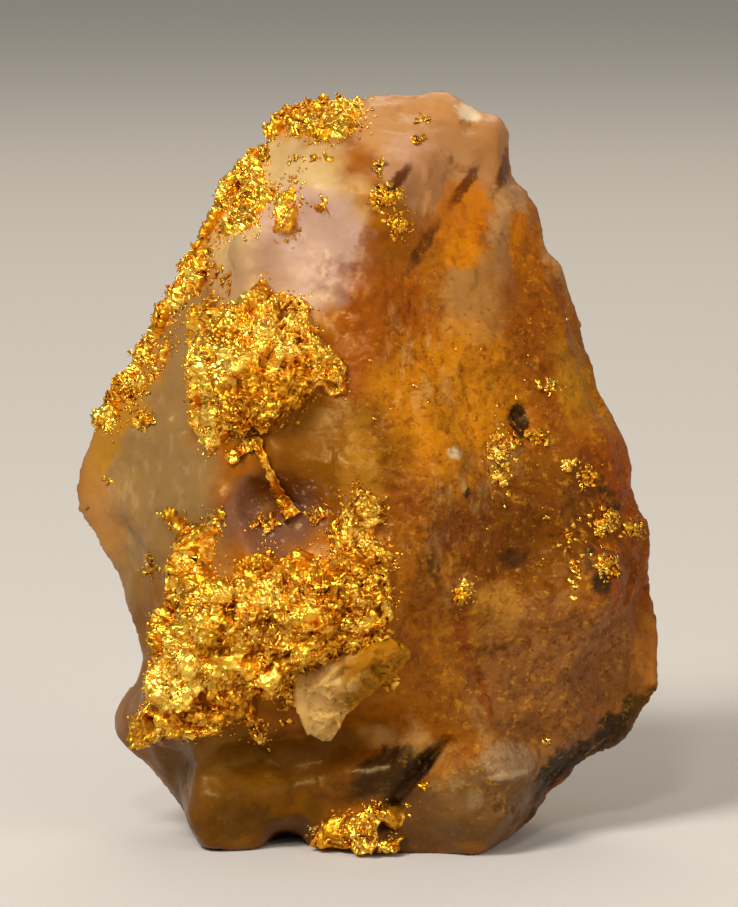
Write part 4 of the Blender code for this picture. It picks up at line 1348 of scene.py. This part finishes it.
@dataclass
class PaleChip:
    """The cream-yellow chip of quartz that the lower crust holds: a flat splinter with a frosted break.

    Attributes:
        stone: The stone that it lies on.
        node: The solid that it stands for.
        voxel: The size of its faces, in millimetres.
        rounds: How often the solid's own facets are evened out.
        fuller: How far it is moved out all round, in millimetres.
        top: How far its broken top stands over the stone.
        sink: How far its underside goes down out of sight.
        facing: How much a point faces away from the stone where its top starts, and where it is full.
        rising: The heights of the solid where its top starts, and where it is full.
        breaks: The facets of its top.
        grit: How high its grit stands.
        finish: Its finish.
    """

    stone: Stone
    node: str = "pale_chip"
    voxel: float = 0.07
    rounds: int = 2
    fuller: float = 0.10
    top: float = 0.62
    sink: float = 0.25
    facing: Pair = (-0.1, 0.4)
    rising: Pair = (0.15, 0.6)
    breaks: Facets = Facets(0.8, 0.08, 0.22, 0.10, Break.SHELLS, 7)
    grit: float = 0.03
    finish: PaleQuartzFinish = PaleQuartzFinish()

    def build(self) -> bpy.types.Object:
        """Builds and dresses the chip.

        Returns:
            The piece.
        """
        mesh = even_solid(self.node, self.voxel)
        normals = normals_of(mesh)
        points = smoothed(mesh, self.rounds) + normals * self.fuller
        _, outward, raw = over_stone(points, self.stone)
        share = smooth_step((normals * outward).sum(axis=1), *self.facing) * smooth_step(raw, *self.rising)
        relief = self.breaks.heights(points) + unevenness(points, 0.3, 3, 9) * self.grit
        heights = share * (self.top + relief) - (1.0 - share) * self.sink
        move_to(mesh, points + outward * (heights - raw)[:, None])
        mesh.shade_smooth()
        piece = place_piece(mesh, "held_chip", self.finish.build())
        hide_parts(self.node)
        return piece


@dataclass(frozen=True)
class Wear:
    """Where a crust is worn through to the stone, which it is most of all where it is thin.

    Attributes:
        size: About how far apart the worn places lie, in millimetres.
        level: How much is worn away, from -1 for nothing to 1 for all of it.
        stretch: How many times longer they are along u, v and w.
        seed: Which worn places they are.
        border: How wide their border is, on the scale of the level.
    """

    size: float = 0.55
    level: float = -0.12
    stretch: Triple = (1.0, 1.0, 1.0)
    seed: int = 15
    border: float = 0.04

    def left(self, points: np.ndarray, thick: np.ndarray) -> np.ndarray:
        """How much of the crust is left at each point.

        Args:
            points: The points, one row each.
            thick: How near the crust is to its full thickness there, from 0 to 1.

        Returns:
            A share from 0, where it is worn through, to 1.
        """
        chance = unevenness(points / np.array(self.stretch), self.size, 3, self.seed)
        return smooth_step(0.5 * chance + 0.9 * thick - self.level, -self.border, self.border)


@dataclass
class GoldCrust:
    """One crust of crumpled gold, with loose flakes standing from it.

    Attributes:
        stone: The stone that it sits on.
        node: The solid that it stands for.
        finish: Its material.
        seed: Which flakes it has.
        voxel: The size of its faces, in millimetres.
        rounds: How often the solid's own facets are evened out.
        seat: How it is set on the stone.
        thin: The heights of the solid up to which it is thin, and from which it has its full thickness.
        wear: Where it is worn through.
        worn_down: How far under the stone's skin its worn places go.
        lumps: Its largest crumples.
        folds: Its middle ones.
        scales: Its smallest ones.
        reach: How far down and up the larger crumples go at most.
        fine_reach: How far the smallest ones do.
        crease_oxide_and_shade_depths: Where the oxide and painted shade in the creases start, and where they are
            full.
        flakes: How many loose flakes it has on each square millimetre.
        flake: What they are like.
        strays: How many flakes lie on the stone round its edge, for each millimetre of it or so.
        stray: What those are like.
        astray: How far from the edge they lie.
    """

    stone: Stone
    node: str
    finish: bpy.types.Material
    seed: int
    voxel: float = 0.055
    rounds: int = 2
    seat: Seat = Seat()
    thin: Pair = (0.34, 0.77)
    wear: Wear = Wear()
    worn_down: float = 0.16
    lumps: Facets = Facets(1.2, 0.26, 0.30, 0.12, Break.SCALES, 11)
    folds: Facets = Facets(0.42, 0.16, 0.50, 0.30, Break.SHELLS, 12, (1.6, 1.0, 1.0))
    scales: Facets = Facets(0.19, 0.05, 0.5, 0.6, Break.SHELLS, 13)
    reach: Pair = (-0.4, 0.3)
    fine_reach: float = 0.1
    crease_oxide_and_shade_depths: Pair = (0.06, 0.36)
    flakes: float = 4.0
    flake: Foil = Foil((0.08, 0.26))
    strays: float = 0.8
    stray: Foil = Foil((0.06, 0.14), 0.015, 0.3)
    astray: float = 0.16

    def build(self) -> bpy.types.Object:
        """Builds and dresses the crust.

        Returns:
            The piece.
        """
        mesh = even_solid(self.node, self.voxel)
        start = smoothed(mesh, self.rounds)
        places, outward, raw = over_stone(start, self.stone)
        thick = smooth_step(raw, *self.thin)
        left = self.wear.left(start, thick)
        relief = self.relief(start, thick)
        heights = left * (self.seat.heights(raw) + relief) - (1.0 - left) * self.worn_down
        points = start + outward * (heights - raw)[:, None]
        move_to(mesh, points)
        normals = normals_of(mesh)
        faces = np.empty(len(mesh.polygons) * 4, np.int32)
        mesh.polygons.foreach_get("vertices", faces)
        bpy.data.meshes.remove(mesh)
        random = np.random.default_rng(self.seed + 100)
        top = np.flatnonzero((left > 0.9) & (raw > self.seat.top))
        wanted = int(len(top) * self.voxel**2 * self.flakes)
        chosen = random.choice(top, min(len(top), wanted), replace=False)
        edge = places[(thick < 0.15) & (outward[:, 2] > 0.3)]
        parts = [
            (points, faces.reshape(-1, 4)),
            self.flake.plates(points[chosen], normals[chosen], random),
            self.stray_flakes(edge, random),
        ]
        made = joined(self.node, parts)
        move_to(made, self.stone.level(points_of(made)))
        # Painted shade, with iron oxide: points that lie low in the creases are marked to be darkened.
        mark = np.zeros(len(made.vertices), np.float32)
        mark[: len(points)] = 0.8 * smooth_step(-relief, *self.crease_oxide_and_shade_depths) * thick
        made.attributes.new("crease_oxide_and_shade", "FLOAT", "POINT").data.foreach_set("value", mark)
        piece = place_piece(made, self.node.replace("gold_", "foil_"), self.finish)
        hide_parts(self.node)
        return piece

    def relief(self, points: np.ndarray, thick: np.ndarray) -> np.ndarray:
        """How high the crumples stand at each point, which is less where the crust is thin.

        Args:
            points: The points, one row each.
            thick: How near the crust is to its full thickness there, from 0 to 1.

        Returns:
            The heights.
        """
        large = np.clip(self.lumps.heights(points) + self.folds.heights(points), *self.reach)
        fine = np.clip(self.scales.heights(points), -self.fine_reach, self.fine_reach)
        return large * (0.35 + 0.65 * thick) + fine

    def stray_flakes(self, edge: np.ndarray, random: np.random.Generator) -> Surface:
        """Strews flakes on the stone round the crust's edge.

        Args:
            edge: Places along the edge, one row each.
            random: The source of chance.

        Returns:
            The points of the flakes and their faces.
        """
        count = int(len(edge) * self.voxel * self.strays)
        near = edge[random.choice(len(edge), min(count, len(edge)), replace=False), :2]
        places, normals = self.stone.onto(near + random.normal(0.0, self.astray, near.shape))
        return self.stray.plates(places, normals, random)


# How foil that is drawn out up the face is stretched along u, v and w.
DRAWN_UP = (1.0, 3.0, 1.5)


@dataclass
class Rim(GoldCrust):
    """The streaky foil down the left edge: thin, much worn and drawn out up the face."""

    seat: Seat = Seat(0.20)
    wear: Wear = Wear(0.4, 0.16, DRAWN_UP, 16)
    lumps: Facets = Facets(0.7, 0.08, 0.20, 0.10, Break.SCALES, 17, DRAWN_UP)
    folds: Facets = Facets(0.2, 0.06, 0.40, 0.20, Break.SHELLS, 18, DRAWN_UP)
    flakes: float = 9.0
    flake: Foil = Foil((0.10, 0.32), upright=3.0)


@dataclass
class Crest(GoldCrust):
    """The foil on the top left edge: thin, and drawn out up the face."""

    seat: Seat = Seat(0.20)
    lumps: Facets = Facets(0.7, 0.10, 0.25, 0.10, Break.SCALES, 17, DRAWN_UP)
    folds: Facets = Facets(0.22, 0.08, 0.40, 0.20, Break.SHELLS, 18, DRAWN_UP)
    flakes: float = 9.0
    flake: Foil = Foil((0.12, 0.34), upright=3.0)


@dataclass
class UpperCrust(GoldCrust):
    """The crust above the hollow, whose folds stand upright."""

    folds: Facets = Facets(0.34, 0.16, 0.50, 0.30, Break.SHELLS, 12, (0.8, 2.4, 1.0))


@dataclass
class LowerCrust(GoldCrust):
    """The largest crust, whose faces are a little larger so that it has fewer of them."""

    voxel: float = 0.0585


@dataclass
class Fleck(GoldCrust):
    """A single small fleck, covered in flakes."""

    voxel: float = 0.045
    wear: Wear = Wear(0.3, 0.02)
    lumps: Facets = Facets(0.6, 0.10, 0.30, 0.10, Break.SCALES, 19)
    folds: Facets = Facets(0.25, 0.08, 0.40, 0.20, Break.SHELLS, 18)
    flakes: float = 12.0


@dataclass
class GoldStrand:
    """The twisted strip of foil that hangs from the upper crust into the hollow.

    Attributes:
        stone: The stone that it lies along.
        finish: Its material.
        node: The solid that it stands for.
        path: The spots that it passes over and its width there, as (u, v, width), from its top to its lower end.
        lift: How far above the stone it hangs, in millimetres.
        least: How far above the stone it stays everywhere.
        thickness: How thick it is.
        step: How far apart its rows of points lie.
        columns: How many points each row has.
        ragged: How much its width varies, as a share of it.
        crumple: How far it is crumpled up and down.
        curl: How strongly its edges curl, as a slope.
        seed: How it is crumpled.
    """

    stone: Stone
    finish: bpy.types.Material
    node: str = "gold_strand"
    path: tuple[Triple, ...] = (
        (-5.0, 14.3, 0.35),
        (-4.5, 14.8, 0.45),
        (-4.05, 15.0, 0.50),
        (-3.8, 14.6, 0.30),
        (-3.6, 14.0, 0.28),
        (-3.35, 13.4, 0.40),
        (-3.1, 12.9, 0.55),
        (-2.75, 12.3, 0.85),
    )
    lift: float = 0.20
    least: float = 0.05
    thickness: float = 0.05
    step: float = 0.06
    columns: int = 9
    ragged: float = 0.5
    crumple: float = 0.24
    curl: float = 1.2
    seed: int = 31

    def build(self) -> bpy.types.Object:
        """Builds and dresses the strip.

        Returns:
            The piece.
        """
        corners = np.array(self.path)
        gone = np.concatenate([[0.0], np.cumsum(np.linalg.norm(np.diff(corners[:, :2], axis=0), axis=1))])
        along = np.arange(0.0, gone[-1], self.step)
        u, v, width = (np.interp(along, gone, column) for column in corners.T)
        spots = np.stack([u, v], axis=1)
        ragged = unevenness(np.stack([along, along * 0, along * 0], axis=1), 0.3, 3, self.seed)
        width = width * (1.0 + self.ragged * ragged)
        side = np.gradient(spots, axis=0)[:, ::-1] * np.array([1.0, -1.0])
        side /= np.linalg.norm(side, axis=1)[:, None]
        across = np.linspace(-0.5, 0.5, self.columns)
        grid = spots[:, None, :] + side[:, None, :] * (across[None, :] * width[:, None])[:, :, None]
        flat = np.pad(grid.reshape(-1, 2), ((0, 0), (0, 1)))
        places, normals = self.stone.onto(flat[:, :2])
        crumple = unevenness(flat * np.array([2.0, 1.0, 1.0]), 0.35, 4, self.seed)
        curl = self.curl * np.tile(across, len(along)) * np.repeat(width, self.columns)
        rise = self.lift + self.crumple * crumple + curl * crumple
        top = places + normals * np.maximum(rise, self.least)[:, None]
        made = joined(self.node, [self.sheet(top, normals)])
        # The strip has no darkened creases: no oxide and no painted shade.
        made.attributes.new("crease_oxide_and_shade", "FLOAT", "POINT")
        piece = place_piece(made, "foil_strand", self.finish)
        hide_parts(self.node)
        return piece

    def sheet(self, top: np.ndarray, normals: np.ndarray) -> Surface:
        """Gives a strip of points its thickness.

        Args:
            top: The points of its upper side, row by row.
            normals: Which way the stone under them faces.

        Returns:
            The points of both sides and the faces all round.
        """
        upper = np.arange(len(top)).reshape(-1, self.columns)
        under = upper + len(top)
        squares = (
            (upper[:-1, :-1], upper[1:, :-1], upper[1:, 1:], upper[:-1, 1:]),
            (under[:-1, :-1], under[:-1, 1:], under[1:, 1:], under[1:, :-1]),
            (upper[:-1, 0], under[:-1, 0], under[1:, 0], upper[1:, 0]),
            (upper[1:, -1], under[1:, -1], under[:-1, -1], upper[:-1, -1]),
            (upper[0, 1:], under[0, 1:], under[0, :-1], upper[0, :-1]),
            (upper[-1, :-1], under[-1, :-1], under[-1, 1:], upper[-1, 1:]),
        )
        faces = np.concatenate([np.stack([part.ravel() for part in square], axis=1) for square in squares])
        return np.concatenate([top, top - normals * self.thickness]), faces


@dataclass(frozen=True)
class Sprinkle:
    """A small group of gold specks.

    Attributes:
        middle: Where its middle lies, as (u, v).
        half: Its half widths.
        count: How many specks it has.
        size: The least and the greatest length of a speck.
    """

    middle: Pair
    half: Pair
    count: int
    size: Pair = (0.14, 0.34)


@dataclass
class GoldDust:
    """The specks of gold that are too small to be solids of their own.

    Attributes:
        stone: The stone that they lie on.
        finish: Their material.
        seed: How they are strewn.
        tilt: How strongly they lean out of the stone, as a slope.
        sprinkles: Their groups.
    """

    stone: Stone
    finish: bpy.types.Material
    seed: int = 21
    tilt: float = 0.35
    sprinkles: tuple[Sprinkle, ...] = (
        Sprinkle((-4.0, 25.9), (0.4, 0.45), 43, (0.16, 0.40)),
        Sprinkle((0.5, 23.8), (0.55, 0.5), 29),
        Sprinkle((1.0, 22.9), (0.4, 0.6), 27),
        Sprinkle((0.3, 24.8), (0.3, 0.25), 10),
        Sprinkle((1.9, 26.7), (0.22, 0.3), 7),
        Sprinkle((1.8, 26.0), (0.25, 0.2), 4),
        Sprinkle((-2.1, 23.6), (0.6, 0.25), 10),
        Sprinkle((-3.0, 25.3), (0.8, 0.2), 7),
        Sprinkle((-1.9, 25.3), (0.6, 0.2), 7),
        Sprinkle((-5.5, 21.0), (0.7, 0.6), 19),
        Sprinkle((-8.3, 15.9), (0.5, 0.4), 15),
        Sprinkle((-8.0, 10.4), (0.18, 0.35), 9),
        Sprinkle((-9.6, 13.6), (0.2, 0.12), 4),
        Sprinkle((4.7, 14.6), (0.6, 1.1), 56),
        Sprinkle((6.1, 15.2), (0.35, 0.35), 16),
        Sprinkle((6.5, 17.1), (0.35, 0.3), 14),
        Sprinkle((7.8, 13.7), (0.35, 0.4), 16),
        Sprinkle((7.2, 14.2), (0.4, 0.3), 10),
        Sprinkle((8.5, 12.1), (0.5, 0.5), 32, (0.16, 0.42)),
        Sprinkle((9.6, 11.8), (0.35, 0.3), 16),
        Sprinkle((8.5, 10.5), (0.35, 0.6), 25),
        Sprinkle((7.5, 10.2), (0.2, 0.6), 14),
        Sprinkle((7.4, 11.6), (0.6, 0.6), 10),
        Sprinkle((3.3, 9.6), (0.2, 0.42), 16, (0.18, 0.4)),
        Sprinkle((-5.3, 12.5), (0.3, 0.3), 7),
        Sprinkle((-2.0, 12.4), (0.6, 0.3), 15, (0.18, 0.42)),
        Sprinkle((-3.9, 12.0), (0.5, 0.35), 15, (0.16, 0.4)),
        Sprinkle((6.4, 4.1), (0.12, 0.12), 4),
        Sprinkle((1.9, 2.7), (0.12, 0.12), 4),
        Sprinkle((5.2, 17.0), (3.0, 3.0), 16, (0.08, 0.16)),
        Sprinkle((1.5, 17.5), (2.5, 3.0), 11, (0.08, 0.16)),
        Sprinkle((6.5, 12.5), (3.0, 2.5), 19, (0.08, 0.16)),
        Sprinkle((8.4, 12.0), (0.12, 0.12), 4, (0.3, 0.45)),
        Sprinkle((-2.6, 7.0), (0.5, 0.4), 30, (0.2, 0.45)),
        Sprinkle((-1.6, 7.4), (0.6, 0.3), 34, (0.2, 0.45)),
        Sprinkle((-0.7, 7.8), (0.6, 0.3), 34, (0.2, 0.45)),
        Sprinkle((0.2, 8.1), (0.5, 0.3), 24, (0.2, 0.45)),
        Sprinkle((0.8, 6.7), (0.2, 0.5), 14, (0.16, 0.4)),
        Sprinkle((-3.0, 6.0), (0.25, 0.9), 24, (0.16, 0.4)),
    )

    def build(self) -> bpy.types.Object:
        """Builds and dresses the specks.

        Returns:
            The piece.
        """
        random = np.random.default_rng(self.seed)
        parts = []
        for sprinkle in self.sprinkles:
            spread = random.normal(0.0, 0.5, (sprinkle.count, 2)) * sprinkle.half
            places, normals = self.stone.onto(spread + sprinkle.middle)
            parts.append(Foil(sprinkle.size, tilt=self.tilt).plates(places, normals, random))
        return place_piece(joined("gold_specks", parts), "gold_specks", self.finish)


@dataclass(frozen=True)
class Softbox:
    """One soft studio light.

    Attributes:
        name: Its name.
        place: Where it stands, in metres.
        size: Its width and height, in metres.
        power: Its power, in watts.
        colour: The colour of its light.
    """

    name: str
    place: Triple
    size: Pair
    power: float
    colour: Colour = (1.0, 1.0, 1.0)

    def build(self, target: Vector) -> None:
        """Sets up the light.

        Args:
            target: What it is turned to.
        """
        lamp = bpy.data.lights.new(self.name, "AREA")
        lamp.shape = "RECTANGLE"
        lamp.size, lamp.size_y = self.size
        lamp.energy = self.power
        lamp.color = self.colour
        stand = bpy.data.objects.new(self.name, lamp)
        stand.location = self.place
        stand.rotation_euler = (target - Vector(self.place)).to_track_quat("-Z", "Y").to_euler()
        bpy.context.scene.collection.objects.link(stand)


@dataclass
class Studio:
    """The floor, the lights and the camera.

    Attributes:
        looks_at: The point of the face frame in the middle of the view.
        distance: How far from it the camera stands, in millimetres.
        height: How much of the face frame the view shows from top to bottom, in millimetres.
        boxes: The lights.
        around: The colour of the light from all round.
        around_power: How strong that light is.
        floor: The floor's finish.
        floor_reach: Half the floor's width, in metres.
        sees: The nearest and the furthest that the camera sees, in metres.
    """

    looks_at: Triple = (-0.055, 14.59, 0.0)
    distance: float = 220.0
    height: float = 33.38
    boxes: tuple[Softbox, ...] = (
        Softbox("key", (-0.16, -0.20, 0.26), (0.11, 0.11), 1.25, (1.0, 0.97, 0.93)),
        Softbox("fill", (0.24, -0.20, 0.12), (0.20, 0.20), 0.32, (1.0, 0.93, 0.80)),
        Softbox("back", (0.02, 0.24, 0.24), (0.24, 0.16), 0.34, (1.0, 0.90, 0.74)),
        Softbox("glint", (-0.03, -0.26, 0.20), (0.03, 0.03), 0.2),
    )
    around: Colour = (1.0, 0.955, 0.89)
    around_power: float = 0.34
    floor: FloorFinish = FloorFinish()
    floor_reach: float = 3.0
    sees: Pair = (0.01, 10.0)

    def build(self) -> None:
        """Sets up everything round the object."""
        target = FACE.to_row() @ Vector(self.looks_at)
        for box in self.boxes:
            box.build(target)
        self.add_floor()
        self.add_world()
        self.add_camera(target)
        bpy.context.scene.view_settings.view_transform = "Standard"

    def add_floor(self) -> None:
        """Adds the floor."""
        mesh = bpy.data.meshes.new("floor")
        plane = bmesh.new()
        bmesh.ops.create_grid(plane, x_segments=1, y_segments=1, size=self.floor_reach)
        plane.to_mesh(mesh)
        plane.free()
        mesh.materials.append(self.floor.build())
        floor = bpy.data.objects.new("floor", mesh)
        bpy.context.scene.collection.objects.link(floor)

    def add_world(self) -> None:
        """Adds the light that comes from all round."""
        world = bpy.data.worlds.new("studio")
        world.use_nodes = True
        background = world.node_tree.nodes["Background"]
        background.inputs["Color"].default_value = (*self.around, 1.0)
        background.inputs["Strength"].default_value = self.around_power
        bpy.context.scene.world = world

    def add_camera(self, target: Vector) -> None:
        """Adds the camera, square to the face.

        Args:
            target: The point in the middle of its view.
        """
        lens = bpy.data.cameras.new("camera")
        lens.lens = lens.sensor_width * self.distance / self.height
        lens.clip_start, lens.clip_end = self.sees
        camera = bpy.data.objects.new("camera", lens)
        camera.location = target + FACE.out * (self.distance / MM_PER_M)
        camera.rotation_euler = (-FACE.out).to_track_quat("-Z", "Y").to_euler()
        bpy.context.scene.collection.objects.link(camera)
        bpy.context.scene.camera = camera


# The crusts that differ from the usual kind, by the start of their nodes' names.
CRUSTS = {
    "gold_rim": Rim,
    "gold_crest": Crest,
    "gold_crust_upper": UpperCrust,
    "gold_crust_lower": LowerCrust,
    "gold_fleck": Fleck,
}


def crust_for(node: str) -> type[GoldCrust]:
    """The kind of crust that a node of gold is dressed as."""
    return next((kind for start, kind in CRUSTS.items() if node.startswith(start)), GoldCrust)


def main() -> None:
    """Builds every piece in order, then what stands round them."""
    logging.basicConfig(level=logging.INFO, format="%(name)s: %(message)s")
    stone = Stone()
    stone.build()
    PaleChip(stone).build()
    gold = GoldFinish().build()
    for seed, node in enumerate(sorted(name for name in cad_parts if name.startswith("gold_"))):
        if node == GoldStrand.node:
            GoldStrand(stone, gold).build()
        else:
            crust_for(node)(stone, node, gold, seed).build()
    GoldDust(stone, gold).build()
    Studio().build()


if __name__ == "__main__":
    main()
